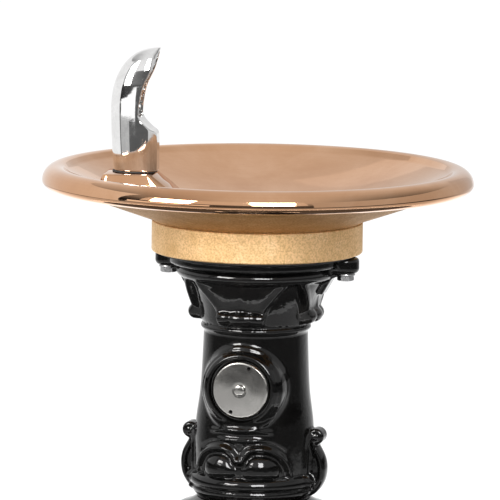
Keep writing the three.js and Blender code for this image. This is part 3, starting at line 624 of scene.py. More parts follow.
def hex_bolt(name, length, radius=7.4, height=4.4, shank=4.0):
    """Head above z = 0, washer face under it, shank below."""
    head = shifted(hex_head(name, radius, height - 0.5), 0, 0, 0.5)
    face = rod(name + "_face", radius * 0.84, 0, 1.0, 48, 0.15)
    threads = [(0, 0.3), (shank, 0.3)]
    z = -6.0
    threads.append((shank, z))
    while z > 1.5 - length:
        threads += [(shank * 0.86, z - 0.6), (shank, z - 1.2)]
        z -= 1.2
    threads += [(shank * 0.8, -length), (0, -length)]
    return smooth(combine(head, face, lathe(name + "_shank", threads, 24, closed=False)), 28)


def build_flange_bolts():
    washer_z = FLANGE_TOP - LUG_THICKNESS - 0.3 - 1.6
    length = BOWL_FOOT + 7 - 1.5 - washer_z
    ring = rounded([(4.4, 0), (8.5, 0), (8.5, 1.6), (4.4, 1.6)], 0.35, 2)
    for side, s in (("left", -1), ("right", 1)):
        washer = shifted(lathe(f"lug_washer_{side}", ring, 56), s * FLANGE_BOLT_R, 0, washer_z)
        place(smooth(washer), f"flange_washer_{side}", "steel")
        bolt = spun(spun(hex_bolt(f"lug_bolt_{side}", length), 180, "X"), 11)
        place(shifted(bolt, s * FLANGE_BOLT_R, 0, washer_z - 0.3), f"flange_bolt_{side}", "steel")


# ---- spout ----

HOOD_TIP = (22.5, 110.9)
HOOD_FOOT = [(-18.6, 1.8), (-20.4, 27)]
HOOD_BEND_Z = 53.0
HOOD_DEPTH = 44.0
HOOD_FULLNESS = 2.3
HOOD_MOUTH = [HOOD_TIP, (16.1, 91.5), (9, 76.5), (5.9, 62), (5, 51)]
HOOD_SHOULDER = [(5, 51), (7.2, 46.6), (10.4, 43.3), (14.9, 39.4), (18.6, 37.4), (20.6, 34.6), (21, 30)]


def hood_back(per_span=6):
    """The back edge: a slight lean up to the bend, then one curve, fuller than a circle's, over to the tip."""
    x, top = HOOD_TIP
    over = []
    for k in range(25):
        angle = math.pi / 2 * k / 24
        over.append((x - HOOD_DEPTH * math.cos(angle) ** (2 / HOOD_FULLNESS),
                     HOOD_BEND_Z + (top - HOOD_BEND_Z) * math.sin(angle) ** (2 / HOOD_FULLNESS)))
    return through([*HOOD_FOOT, over[0]], per_span)[:-1] + over


def egg_plan(back, front, half_width):
    """A round-backed plan, a little fuller in front than behind, curved all the way round."""
    centre = back + 0.53 * (front - back)
    outline = []
    for k in range(96):
        angle = 2 * math.pi * k / 96
        x, y = math.cos(angle), math.sin(angle)
        fullness = 0.80 if x > 0 else 0.93
        reach = (front - centre) if x > 0 else (centre - back)
        outline.append((centre + reach * math.copysign(abs(x) ** fullness, x),
                        half_width * math.copysign(abs(y) ** fullness, y)))
    return outline


HOOD_HALF_WIDTH = [(0, 1.0), (58, 1.0), (78, 0.955), (92, 0.86), (101, 0.73), (106, 0.58), (109, 0.41),
                   (110.4, 0.26)]


def shell(name, low, high, wall):
    """The hood's body: its back leans forward and its sides close in as it rises."""
    backs, heights = zip(*hood_back())
    widths = list(zip(*HOOD_HALF_WIDTH))
    sections = []
    levels = [low + (high - low) * (1 - (1 - k / 60) ** 1.5) for k in range(61)]
    for z in levels:
        back = float(np.interp(z + wall * 0.9 * (z > 60), heights, backs)) + wall
        half = SPOUT_HALF_WIDTH * float(np.interp(z + wall * 0.8, *widths)) - wall
        front = 22.6 - 0.5 * wall
        sections.append([(x, y, z) for x, y in egg_plan(min(back, front - 5), front, max(half, 2.5))])
    return loft(name, sections)


def build_spout():
    behind = [(x - 4, z + 4) for x, z in hood_back()]
    side = [(-26, 1.8), *behind, (22.6, 114.9)] + through(HOOD_MOUTH) + through(HOOD_SHOULDER)[1:] + [(21, 1.8)]
    hood = shell("hooded_spout", 1.8, 110.8, 0)
    combine(hood, side_prism("profile", side, 30), operation="INTERSECT")
    hollow = shell("hollow", 49, 107.4, 2.7)
    carve(hood, hollow)
    cast(hood, 0.5, 10)
    moved(smooth(hood, 60), SPOUT_FRAME)
    place(hood, "spout_body", "chrome")

    seal = flat_plate("spout_seal", [egg_plan(-19.6, 20.4, 16)], 1.2, 0.3)
    place(smooth(moved(shifted(seal, 0, 0, 0.3), SPOUT_FRAME)), "spout_gasket", "rubber")

    stem = lathe("jet_stem", [(0, 0), (5.2, 0), (5.5, 0.3), (5.5, 9), (4.9, 10.5), (0, 12)], 56, closed=False)
    jet_outline = [(0, -1), (4.2, -1), (4.2, 11.6), (3.7, 12.6), (2.6, 12.9), (2.2, 12.2), (2.0, 7), (0, 7)]
    jet = lathe("jet_tube", jet_outline, 56, closed=False)
    moved(jet, Matrix.Translation((0, 0, 8 * MM)) @ Matrix.Rotation(math.radians(40), 4, "Y"))
    nozzle = smooth(combine(stem, jet), 30)
    moved(shifted(nozzle, -6, 0, 53.3), SPOUT_FRAME)
    place(nozzle, "spout_nozzle", "chrome")


# ---- drain ----


def build_drain():
    outline = rounded([(DRAIN_BORE_R, SEAT_Z - 28), (DRAIN_R, SEAT_Z - 28), (DRAIN_R, SEAT_Z + 0.3),
                       (SEAT_R - 1, SEAT_Z + 0.3), (SEAT_R - 1, SEAT_Z + 3), (27, SEAT_Z + 3),
                       (27, SEAT_Z + 1.6), (DRAIN_BORE_R, SEAT_Z + 1.6)], 0.4, 2)
    bridge = prism("bridge", [(-17, -3), (17, -3), (17, 3), (-17, 3)], SEAT_Z - 8, SEAT_Z - 3)
    body = combine(lathe("drain_flange", outline, 96), bridge, rod("bridge_eye", 5.5, SEAT_Z - 8, SEAT_Z - 1))
    carve(body, rod("bridge_bore", 2.7, SEAT_Z - 10, SEAT_Z + 1))
    place(smooth(body), "drain_body", "brass")
    loops = [arc(0, 0, 26, 26, 0, 356, 89), arc(0, 0, 3, 3, 0, 345, 23)]
    for count, radius in ((6, 10), (10, 19)):
        for i in range(count):
            angle = 2 * math.pi * (i + 0.5) / count
            loops.append(arc(radius * math.cos(angle), radius * math.sin(angle), 2.6, 2.6, 0, 345, 23))
    grate = flat_plate("strainer_plate", loops, 1.5, 0.3)
    place(smooth(shifted(grate, 0, 0, SEAT_Z + 1.9)), "drain_strainer", "stainless")
    top = SEAT_Z + 1.9 + 1.8
    outline = [(0, SEAT_Z - 7), (2.2, SEAT_Z - 7), (2.4, SEAT_Z - 6.5), (2.4, top), (4.8, top), (4.7, top + 0.6),
               (3.9, top + 1.2), (2.2, top + 1.55), (0, top + 1.6)]
    screw = lathe("strainer_fixing", outline, 48, closed=False)
    slot = prism("slot", [(-6, -0.5), (6, -0.5), (6, 0.5), (-6, 0.5)], top + 0.7, top + 3)
    spun(slot, 35)
    place(smooth(carve(screw, slot)), "strainer_screw", "stainless")


# ---- pedestal head: heights of its ornament over a turned core ----


def soft_step(x, low, high):
    t = np.clip((x - low) / (high - low), 0, 1)
    return t * t * (3 - 2 * t)


def line_distance(u, z, points):
    """Distance from each place (u, z) to a line through the points."""
    best = np.full(u.shape, 1e9)
    for (ax, ay), (bx, by) in zip(points, points[1:]):
        dx, dy = bx - ax, by - ay
        t = np.clip(((u - ax) * dx + (z - ay) * dy) / (dx * dx + dy * dy), 0, 1)
        best = np.minimum(best, np.hypot(u - ax - t * dx, z - ay - t * dy))
    return best


def around(phi, centre):
    """Signed angle in degrees from a direction round the column."""
    return (phi - centre + 180) % 360 - 180


LEAF_RADIUS = np.array([(700, 48), (703, 50), (712, 55.6), (716, 56.8), (720, 58.4), (728, 62.0), (736, 65.4),
                        (745, 68.4)])
BROW = through([(48.5, 566), (47.5, 572), (44, 580), (37.5, 587), (28, 592), (17, 593.8), (9.5, 592),
                (4.8, 587.5), (2.6, 583)], 3)
SCROLL_RIB = through([(18.0, 551), (18.8, 562), (18.6, 578), (17, 590), (12.5, 598.5), (6, 603)], 3)


def leaf(radius, phi, z, centre):
    """A broad hanging leaf: a hollow panel in a thick border, and a tip that curls out in three lumps."""
    u = np.abs(around(phi, centre)) * math.pi / 180 * 60
    half = np.interp(z, [702, 712, 720, 730, 738, 746], [24.5, 26.5, 30, 37, 42.5, 46])
    lumps = [(0, 10.0), (17.5, 8.6)]
    lump = np.max([np.sqrt(np.clip(1 - ((u - c) / h) ** 2, 0, 1)) for c, h in lumps], axis=0)
    roll = 6.9 * (0.60 + 0.40 * lump)
    panel = np.interp(z, LEAF_RADIUS[:, 0], LEAF_RADIUS[:, 1])
    dish = np.clip(1 - (u / (half - 5)) ** 2, 0, 1) * np.clip(1 - ((z - 730) / 17.5) ** 2, 0, 1)
    panel = panel - 4.4 * dish ** 1.2
    panel = panel + 1.5 * np.exp(-(((u - half + 6.0) / 3.6) ** 2)) * soft_step(z, 706, 718)
    panel = panel + 1.0 * np.exp(-((u / 3.0) ** 2)) * soft_step(z, 708, 714) * (1 - soft_step(z, 718, 732))
    z_roll = 710.0 - 0.9 * lump
    curl = 53.4 + np.sqrt(np.clip(roll**2 - (z - z_roll) ** 2, 0, None))
    curl = np.where(np.abs(z - z_roll) < roll, curl, 0)
    surface = np.maximum(np.where(z > 712, panel, 0), curl)
    edge = soft_step(half - u, -1.0, 4.0)
    inside = (z > 702) & (z < 745)
    return np.where(inside & (surface > radius), radius + (surface - radius) * edge, radius)


def side_scroll(radius, phi, z, centre):
    """The web of a C scroll, a channel either side of it and the ribs that bound them."""
    u = around(phi, centre) * math.pi / 180 * 56
    swell = 47 + 16.6 * np.sqrt(np.clip(1 - ((z - 573) / 24.0) ** 2, 0, 1))
    round_edge = np.clip(1 - np.abs(u / 6.4) ** 3, 0, 1) ** 0.5
    raised = radius + np.maximum(swell - radius, 0) * round_edge
    away = line_distance(np.abs(u), z, SCROLL_RIB)
    in_band = soft_step(z, 548, 553) * (1 - soft_step(z, 604, 608))
    rib = 3.4 * np.exp(-((away / 2.3) ** 2)) * in_band
    channel = 1.3 * soft_step(np.abs(u), 5.5, 8) * (1 - soft_step(np.abs(u), 14.5, 17)) * soft_step(z, 558, 564)
    channel = channel * (1 - soft_step(z, 590, 597))
    return raised + rib - channel


def brows(radius, phi, z, centre):
    """Two arched ribs over two round lobes, with a knob between them."""
    u = around(phi, centre) * math.pi / 180 * 54
    away = line_distance(np.abs(u), z, BROW)
    above = soft_step(z, 567.0, 569.0)
    rib = 3.3 * np.exp(-((away / 2.5) ** 2)) * soft_step(z, 565.5, 568.5)
    reach = ((np.abs(u) - 20.5) / 17.5) ** 2 + ((z - 574.0) / 14.0) ** 2
    lobe = 6.0 * np.clip(1 - reach, 0, 1) ** 0.8 * above
    knob = 3.0 * np.exp(-((u / 3.2) ** 2 + ((z - 583) / 3.8) ** 2))
    fold = 1.2 * np.exp(-(((away - 5.2) / 1.7) ** 2)) * above * (np.abs(u) < 44)
    return radius + np.maximum(rib, lobe) + knob - fold


def mouldings(radius, phi, z, centre):
    u = around(phi, centre) * math.pi / 180 * 52
    fade = 1 - soft_step(np.abs(u), 20, 34)
    low = 1.9 * np.exp(-(((z - 601.5) / 1.7) ** 2)) * (1 - soft_step(np.abs(u), 12, 26))
    high = 1.9 * np.exp(-(((z - 610.5 + 0.0022 * u**2) / 1.8) ** 2))
    return radius + high * fade + low


def boss_fillet(radius, phi, z):
    x = radius * np.sin(np.radians(phi))
    away = np.hypot(x, z - BUTTON_Z)
    front = np.abs(around(phi, 0)) < 75
    near = np.clip((BOSS_R + 4.5 - away) / 4.5, 0, 1)
    return radius + np.where(front, 2.2 * near**2, 0)


def head_core():
    """The outside of the head from the top of its flange down to the neck."""
    flange = rounded([(60, FLANGE_TOP), (78, FLANGE_TOP), (78, 753), (67.5, 753)], 1.6, 4, ends=False)
    torus = arc(64.0, 746.4, 7.4, 6.2, 90, -70, 14)
    bell = through([(63.0, 738.6), (59.0, 734), (55.4, 728), (52.2, 720), (49.8, 712), (48.3, 703),
                    (47.2, 700)], 5)
    astragal = arc(46.6, 697, 2.4, 2.6, 70, -70, 6)
    drum = through([(46.2, 692.4), (46.8, 676), (47.4, 661), (48.2, 646), (49.3, 634), (50.7, 624), (51.9, 615),
                    (52.7, 606), (53.2, 596), (53.3, 584), (53.0, 572), (52.4, 568.4)], 4)
    foot = [(51.8, 567.6), *through([(52.8, 566.9), (55.6, 565.3), (57.4, 562.4), (57.8, 559.4), (56.9, 556.9),
                                     (54.6, 555.9)], 4), (53.4, 555.4),
            *through([(54.6, 554.4), (55.3, 552.2), (54.4, 549.2), (52.2, 546.7), (50.9, 545.3)], 3),
            (NECK_R, HEAD_BOTTOM)]
    return spaced(flange + torus + bell + astragal + drum + foot, 0.9)


SCROLL_BACK = [(55.5, 603), (55.0, 597), (56.0, 591.5), (59.0, 586.2), (62.1, 579.5), (63.3, 571.5), (62.2, 563),
               (58.6, 555.8), (54.0, 551.2), (49.5, 548.5)]


def band(name, path, thickness, half_width):
    """A rounded strap, flat across Y, that follows an (x, z) line."""
    sections = []
    for i, (x, z) in enumerate(path):
        ax, az = path[max(0, i - 1)]
        bx, bz = path[min(len(path) - 1, i + 1)]
        length = math.hypot(bx - ax, bz - az)
        nx, nz = (bz - az) / length, -(bx - ax) / length
        section = []
        for k in range(24):
            angle = 2 * math.pi * k / 24
            across = math.copysign(abs(math.cos(angle)) ** 0.8, math.cos(angle)) * thickness
            section.append((x + nx * across, half_width * math.sin(angle), z + nz * across))
        sections.append(section)
    return loft(name, sections)


def lug_section(z, inset):
    tip = arc(LUG_REACH - LUG_WIDTH / 2, 0, LUG_WIDTH / 2 - inset, LUG_WIDTH / 2 - inset, -90, 90, 24)
    return [(x, y, z) for x, y in [(62, inset - 13.5), *tip, (62, 13.5 - inset)]]


def build_head():
    outline = head_core()
    columns = 420
    core_r = np.array([[r] * columns for r, _ in outline])
    z = np.array([[h] * columns for _, h in outline])
    phi = np.tile(np.linspace(0, 360, columns, endpoint=False), (len(outline), 1))
    radius = core_r.copy()
    for centre in (0, 90, 180, 270):
        radius = np.where(z < 745, leaf(radius, phi, z, centre), radius)
    for centre in (90, 270):
        radius = np.where(z < 608, side_scroll(radius, phi, z, centre), radius)
    for centre in (0, 180):
        radius = np.where(z < 600, brows(radius, phi, z, centre), radius)
        radius = np.where((z < 620) & (z > 590), mouldings(radius, phi, z, centre), radius)
    radius = np.where((z < 697) & (z > 590), boss_fillet(radius, phi, z), radius)
    turn = np.radians(phi)
    vertices = np.stack([radius * np.sin(turn), -radius * np.cos(turn), z], axis=-1).reshape(-1, 3).tolist()
    cavity = [(SPIGOT_R + 0.5, HEAD_BOTTOM), (44, 562), (40, 640), (40, 700), (54, 742), (58, FLANGE_TOP)]
    inner = spaced(cavity, 4)
    rows = len(outline) + len(inner)
    for r, height in inner:
        vertices += [(r * math.sin(a), -r * math.cos(a), height) for a in turn[0]]
    solids = [mesh_object("pedestal_head_cast", vertices, grid_faces(rows, columns, True))]
    for s in (-1, 1):
        edges = [(747.0, 3.6), (747.8, 1.7), (749.2, 0.5), (751.0, 0.0), (758.2, 0.0), (759.8, 0.5), (760.7, 1.4),
                 (761.0, 2.4)]
        lug = loft("lug", [lug_section(z, inset) for z, inset in edges])
        web_outline = [(60, 750), (84, 750), (78, 745.5), (70, 742), (66, 735), (62, 728), (56, 728)]
        web = side_prism("web", web_outline, 8)
        curl_outline = rounded([(0, -8.6), (7.3, -8.6, 2.6), (7.3, 8.6, 2.6), (0, 8.6)], 0, 5, ends=False)
        curl = facing_front(lathe("curl", curl_outline, 48, closed=False))
        eye_outline = [(0, -9.6), (1.8, -9.5), (2.8, -8.4), (2.8, 8.4), (1.8, 9.5), (0, 9.6)]
        eye = facing_front(lathe("eye", eye_outline, 32, closed=False))
        back = band("scroll_back", through(SCROLL_BACK, 5), 3.6, 8.4)
        for made in (lug, web, shifted(curl, 57.6, 0, 600.6), shifted(eye, 58.2, 0, 600.2), back):
            solids.append(spun(made, 0 if s > 0 else 180))
    boss = [(0, 26), (BOSS_R + 1.6, 26), (BOSS_R + 0.5, 39), (BOSS_R, 43), (BOSS_R - 0.4, 45),
            (BOSS_R - 1.6, 46.6), (34.4, 47.2), (33.9, 48.2), (33.4, 49.8), (32.6, 50.7), (31.6, 51), (31.2, 51),
            *arc(29.7, 51, 1.7, 1.5, 0, 100, 6), (28.4, 52.2), (0, 52.2)]
    solids.append(shifted(facing_front(lathe("boss", boss, 128, closed=False)), 0, 0, BUTTON_Z))
    head = heap("pedestal_head_cast", solids)
    cast(head, 1.0, 3)
    inside = [(0, 541), (44, 541), (44, 562), (40, 640), (40, 700), (54, 742), (58, 763), (0, 763)]
    hollow = lathe("hollow", inside, 96, closed=False)
    bore_outline = [(0, 20), (BOSS_BORE_R, 20), (BOSS_BORE_R, 51.6), (28.8, 52.4), (28.8, 70), (0, 70)]
    bore = facing_front(lathe("bore", bore_outline, 128, closed=False))
    carve(head, hollow, shifted(bore, 0, 0, BUTTON_Z))
    for s in (-1, 1):
        carve(head, shifted(rod("bolt_hole", 4.4, 740, 770, 32, 0.1), s * FLANGE_BOLT_R, 0, 0))
    for turn in NECK_SCREW_TURNS:
        hole = spun(spun(rod("screw_hole", 3.2, 40, 60, 24, 0.1), 90, "Y"), turn)
        carve(head, shifted(hole, 0, 0, SCREW_Z))
    place(smooth(head, 42), "pedestal_head", "black_enamel")


# ---- pedestal shaft ----


def build_shaft():
    spigot_top = SHAFT_TOP + 16.5
    top = [(SPIGOT_R, spigot_top), (SPIGOT_R, SHAFT_TOP), (NECK_R, SHAFT_TOP)]
    crown = through([(NECK_R, SHAFT_TOP), (53, 541.4), (58, 538.5), (64, 536)], 4)[1:]
    lip = arc(64, 529.6, 6, 6.2, 80, -80, 10)
    cove = [(61.5, 521.5), (60.5, 519), *arc(62.5, 508, 9.5, 10, 105, 255, 12)]
    bead = arc(52, 492.6, 4, 3.8, 80, -80, 8)
    body = through([(50.6, 486), (53, 446), (55.8, 403), (58.9, 355), (61.8, 312)], 10)
    girdle = arc(62, 300, 6, 6.4, 80, -80, 10)
    bell = through([(62.6, 291), (63.6, 279), (66.2, 268), (70.5, 258), (73, 254.5)], 5)
    torus = arc(72, 244, 9.6, 8.6, 75, -80, 12)
    plate = rounded([(74, 233), (97, 233), (97, SHAFT_BOTTOM), (58, SHAFT_BOTTOM)], 1.4, 4, ends=False)
    outline = spaced(top + crown + lip + cove + bead + body + girdle + bell + torus + plate, 2.2)
    bore = [(58, SHAFT_BOTTOM), (52, 320), (37.5, 540), (37.5, spigot_top), (SPIGOT_R, spigot_top)]
    inner = spaced(bore, 6)[1:-1]
    columns = 384
    vertices = []
    flutes = 16
    for r, z in outline:
        for k in range(columns):
            angle = 2 * math.pi * k / columns
            wave = abs(math.sin(flutes / 2 * angle))
            end = min(1.0, max(0.0, (z - 322) / 14)) * min(1.0, max(0.0, (478 - z) / 14))
            groove = 2.1 * math.sqrt(max(0.0, end)) * max(0.0, (wave - 0.22) / 0.78) ** 0.8 if r < 62 else 0.0
            leafy = 0.0
            if 255 < z < 292:
                share = (z - 255) / 37
                tongue = abs(math.sin(8 * angle)) ** 0.7
                leafy = 2.0 * tongue * math.sin(math.pi * min(1, max(0, share))) ** 0.6
            radius = r - groove + leafy
            vertices.append((radius * math.sin(angle), -radius * math.cos(angle), z))
    for r, z in inner:
        vertices += [(r * math.sin(2 * math.pi * k / columns), -r * math.cos(2 * math.pi * k / columns), z)
                     for k in range(columns)]
    shaft = mesh_object("pedestal_shaft_cast", vertices, grid_faces(len(outline) + len(inner), columns, True))
    for x, y in SHAFT_BOLTS:
        carve(shaft, shifted(rod("hole", 4.4, 215, 240, 32, 0.1), x, y, 0))
    place(smooth(shaft, 40), "pedestal_shaft", "black_enamel")
    for i, (x, y) in enumerate(SHAFT_BOLTS):
        bolt = spun(hex_bolt(f"shaft_fixing_{i + 1}", 22), 13 + 31 * i)
        place(shifted(bolt, x, y, 233.3), f"shaft_bolt_{i + 1}", "steel")


# ---- pedestal base ----


def octagon(half, z, chamfer=0.24, corner=3.0):
    """A square with chamfered, softened corners."""
    near = half * (1 - chamfer)
    plan = [(half, -near), (half, near), (near, half), (-near, half), (-half, near), (-half, -near),
            (-near, -half), (near, -half)]
    return [(x, y, z) for x, y in rounded(plan, corner, 3)]


def build_base():
    profile = rounded([(0, 0), (130, 0, 1.2), (130, 12.6, 2.4), (126, 15.2, 1.5), (102, 15.6, 0.6), (101, 22, 2),
                       (99, 34, 4), (94, 40, 3), (88, 50, 5), (88, 196, 3), (91.5, 199, 1.5), (94, 205, 3),
                       (98, 209, 2), (98, 222, 2), (0, 222)], 1, 4, ends=False)[1:-1]
    body = loft("pedestal_base_cast", [octagon(half, z) for half, z in profile])
    inner = loft("inner", [octagon(80, -1), octagon(80, 212)])
    panels = []
    for turn in (0, 90, 270):
        frame_shape = rounded([(-46, 66), (46, 66), (46, 180), (-46, 180)], 9, 6)
        sunk = side_prism("panel", frame_shape, 3.0)
        shifted(sunk, 0, -88, 0)
        raised = side_prism("raised", rounded([(-36, 76), (36, 76), (36, 170), (-36, 170)], 8, 6), 2.4)
        panels.append(spun(carve(sunk, shifted(raised, 0, -85.6, 0)), turn))
    window = side_prism("window", rounded([(-42, 65), (42, 65), (42, 181), (-42, 181)], 4, 4), 12)
    carve(body, inner, rod("deck_hole", 62, 205, 230, 96, 0.1), shifted(window, 0, 88, 0), *panels)
    cast(body, 1.5, 3)
    for x, y in SHAFT_BOLTS:
        carve(body, shifted(rod("hole", 4.4, 205, 230, 32, 0.1), x, y, 0))
    for x, y in ANCHORS:
        carve(body, shifted(rod("hole", 6.8, -4, 24, 32, 0.1), x, y, 0))
    place(smooth(body, 40), "pedestal_base", "black_enamel")

    for i, (x, y) in enumerate(ANCHORS):
        washer = lathe(f"anchor_{i + 1}", rounded([(0, 0), (13, 0), (13, 2), (0, 2)], 0.5, 3, ends=False), 56,
                       closed=False)
        head = spun(shifted(hex_head("head", 10.4, 8), 0, 0, 1.5), 17 + 41 * i)
        stud = rod("stud", 5.9, -14, 1, 40, 0.8)
        anchor = smooth(combine(washer, head, stud), 28)
        place(shifted(anchor, x, y, 15.9), f"anchor_bolt_{i + 1}", "steel")

    corners = [(-54, 54), (54, 54), (54, 192), (-54, 192)]
    screws = [(-47, 60), (47, 60), (-47, 186), (47, 186)]
    loops = [rounded(corners, 4, 5)] + [arc(x, z, 2.7, 2.7, 0, 345, 23) for x, z in screws]
    cover = flat_plate("access_plate", loops, 4, 0.8)
    swap_y_and_z = Matrix(((1, 0, 0, 0), (0, 0, 1, 0), (0, 1, 0, 0), (0, 0, 0, 1)))
    moved(cover, swap_y_and_z)
    place(smooth(shifted(cover, 0, 88.3, 0)), "access_cover", "black_enamel")
    for i, (x, z) in enumerate(screws):
        outline = [(0, -9), (1.9, -9), (2.2, -8.6), (2.2, 0), (4.8, 0), (4.7, 0.8), (3.9, 1.7), (2.2, 2.15),
                   (0, 2.2)]
        screw = lathe(f"cover_fixing_{i + 1}", outline, 48, closed=False)
        slot = prism("slot", [(-6, -0.5), (6, -0.5), (6, 0.5), (-6, 0.5)], 1.1, 4)
        facing_rear(carve(screw, spun(slot, 20 + 50 * i)))
        place(smooth(shifted(screw, x, 92.6, z)), f"cover_screw_{i + 1}", "stainless")

    for i, turn in enumerate(NECK_SCREW_TURNS):
        outline = [(0, 43.8), (2.9, 43.8), (2.9, 50.2), (2.4, 50.7), (0, 50.7)]
        screw = lathe(f"neck_screw_{i + 1}", outline, 32, closed=False)
        carve(screw, prism("socket", hexagon(1.5), 48.2, 52))
        spun(spun(screw, 90, "Y"), turn)
        place(smooth(shifted(screw, 0, 0, SCREW_Z)), f"neck_set_screw_{i + 1}", "steel")


# ---- push button ----


def build_button():
    button_body = "push_button"
    outline = [(2.8, BUTTON_BACK), *rounded([(24.9, BUTTON_BACK), (BUTTON_R, BUTTON_BACK + 0.8), (BUTTON_R, 50.6),
                                             (24.2, 52.2), (23.2, 52.45)], 0.3, 3, ends=False),
               *through([(22.7, 52.5), (17, 53.15), (10, 53.75), (6.4, 53.9), (5.6, 53.6), (2.8, 53.6)], 4)]
    face = facing_front(lathe("button_face", outline, 160))
    for x, z in ((8, 19.5), (-8, -19.5)):
        carve(face, shifted(facing_front(rod("spanner_hole", 1.7, 43.5, 60, 32, 0.1)), x, 0, z))
    turned = turned_metal("stainless_turned", (0.40, 0.39, 0.372), (0.58, 0.565, 0.54), 0.10, "Y")
    turned.node_tree.nodes["Principled BSDF"].inputs["Anisotropic"].default_value = 0.55
    tangent = turned.node_tree.nodes.new("ShaderNodeTangent")
    tangent.axis = "Y"
    turned.node_tree.links.new(tangent.outputs[0], turned.node_tree.nodes["Principled BSDF"].inputs["Tangent"])
    smooth(face, 25)
    # The spanner holes' walls and floors get a near-black finish: painted shade in the deep holes.
    for finish in (turned, dull("hole_painted_shade", (0.008, 0.007, 0.006), (0.022, 0.020, 0.018), 0.8, 700, 0.03)):
        face.data.materials.append(finish)
    # Faces inside the spanner holes take the painted shade.
    for polygon in face.data.polygons:
        x, y, z = (c / MM for c in polygon.center)
        in_hole = min(math.hypot(x - 8, z - 19.5), math.hypot(x + 8, z + 19.5)) < 1.75
        polygon.material_index = int(in_hole and y < -43 and y > -52.6)
    face.location = (0, 0, BUTTON_Z * MM)
    place(face, "push_button", "stainless", button_body, False)
    outline = [(0, 34), (2.2, 34), (2.4, 34.4), (2.4, 54.1), (4.9, 54.3), (4.9, 54.7), (4.4, 55.3), (3.0, 55.8),
               (1.4, 55.97), (0, 56.0)]
    screw = facing_front(lathe("button_fixing", outline, 56, closed=False))
    smooth(screw, 30)
    screw.location = (0, 0, BUTTON_Z * MM)
    place(screw, "button_screw", "stainless", button_body, turned)
    ring = rounded([(26.4, 32), (26.4, 47), (27.8, 47), (27.8, 30), (20, 30), (20, 32)], 0.3, 2)
    sleeve = facing_front(lathe("button_bush", ring, 96))
    place(smooth(shifted(sleeve, 0, 0, BUTTON_Z)), "button_sleeve", "rubber")


# ---- what the CAD part shows as it is ----

CARRIED = {
    "brass": ["spout_shank", "drain_locknut", "valve_body", "valve_bonnet", "valve_inlet_nut", "valve_outlet_nut",
              "stop_outlet_nut", "spout_supply_nut", "slip_nut_drain"],
    "rubber": ["drain_gasket"],
    "steel": ["return_spring", "valve_bracket"],
    "stainless": ["valve_stem"],
    "chrome": ["supply_stop_body", "supply_stop_handle", "waste_tailpiece", "waste_trap", "waste_drop"],
    "copper": ["supply_riser", "supply_tube_lower", "supply_tube_upper"],
    "white_plastic": ["slip_nut_tailpiece", "slip_nut_trap"],
}


def dress_carried():
    for slot, names in CARRIED.items():
        for name in names:
            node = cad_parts[name]
            node.data.materials.clear()
            node.data.materials.append(FINISH[slot])
            smooth(node, 50)


# ---- stage: floor, studio light and camera ----

CAMERA_AZIMUTH = 15.0
CAMERA_ELEVATION = 7.8
CAMERA_DISTANCE = 4.5
CAMERA_LENS = 366.5
CAMERA_ROLL = 0.75


def direction(azimuth, elevation):
    a, e = math.radians(azimuth), math.radians(elevation)
    return Vector((math.sin(a) * math.cos(e), -math.cos(a) * math.cos(e), math.sin(e)))


def build_camera():
    side = 6.2 * MM
    turn = math.radians(CAMERA_AZIMUTH)
    target = Vector((-side * math.cos(turn), -side * math.sin(turn), 0.7635))
    back = direction(CAMERA_AZIMUTH, CAMERA_ELEVATION)
    data = bpy.data.cameras.new("camera")
    data.lens, data.sensor_width = CAMERA_LENS, 36.0
    data.clip_start, data.clip_end = 0.1, 200.0
    camera = bpy.data.objects.new("camera", data)
    bpy.context.scene.collection.objects.link(camera)
    look = (-back).to_track_quat("-Z", "Y").to_matrix().to_4x4()
    camera.matrix_world = (Matrix.Translation(target + back * CAMERA_DISTANCE) @ look
                           @ Matrix.Rotation(math.radians(CAMERA_ROLL), 4, "Z"))
    bpy.context.scene.camera = camera


def area_light(name, azimuth, elevation, distance, width, height, power, colour=(1, 1, 1)):
    data = bpy.data.lights.new(name, "AREA")
    data.shape, data.size, data.size_y = "RECTANGLE", width, height
    data.energy, data.color = power, colour
    lamp = bpy.data.objects.new(name, data)
    bpy.context.scene.collection.objects.link(lamp)
    way = direction(azimuth, elevation)
    lamp.location = Vector((0, 0, 0.72)) + way * distance
    lamp.rotation_mode = "QUATERNION"
    lamp.rotation_quaternion = (-way).to_track_quat("-Z", "Y")
    return lamp


FRONT_LEVELS = (-0.98, -0.25, 0.92, 0.11)


def along(graph, way, azimuth):
    """How far a direction points along a level azimuth."""
    return graph.vector("DOT_PRODUCT", way, direction(azimuth, 0)).outputs["Value"]


def towards_front(graph, way):
    """The level that reflections see in a direction: bright behind the object, dim in front of it."""
    return graph.level(along(graph, way, CAMERA_AZIMUTH), *FRONT_LEVELS)


def studio_card(card, strength):
    """Makes a sheet glow in reflections alone. Its strength is a number, or a function of its node graph."""
    material = bpy.data.materials.new(card.name)
    material.use_nodes = True
    graph = Graph(material.node_tree)
    graph.tree.nodes.clear()
    glow = graph.node("ShaderNodeEmission", Strength=strength(graph) if callable(strength) else strength)
    graph.node("ShaderNodeOutputMaterial", Surface=glow.outputs[0])
    card.data.materials.append(material)
    for ray in ("camera", "diffuse", "transmission", "shadow", "volume_scatter"):
        setattr(card, f"visible_{ray}", False)


def bent_card(name, azimuths, heights, distance):
    """A sheet bent round the object, in metres. Its azimuths are counted from the camera's."""
    steps = 24
    angles = [CAMERA_AZIMUTH + azimuths[0] + (azimuths[1] - azimuths[0]) * k / steps for k in range(steps + 1)]
    ways = [direction(angle, 0) for angle in angles]
    vertices = [(way.x * distance, way.y * distance, z) for z in heights for way in ways]
    return mesh_object(name, vertices, [(k, k + 1, steps + 2 + k, steps + 1 + k) for k in range(steps)], 1.0)


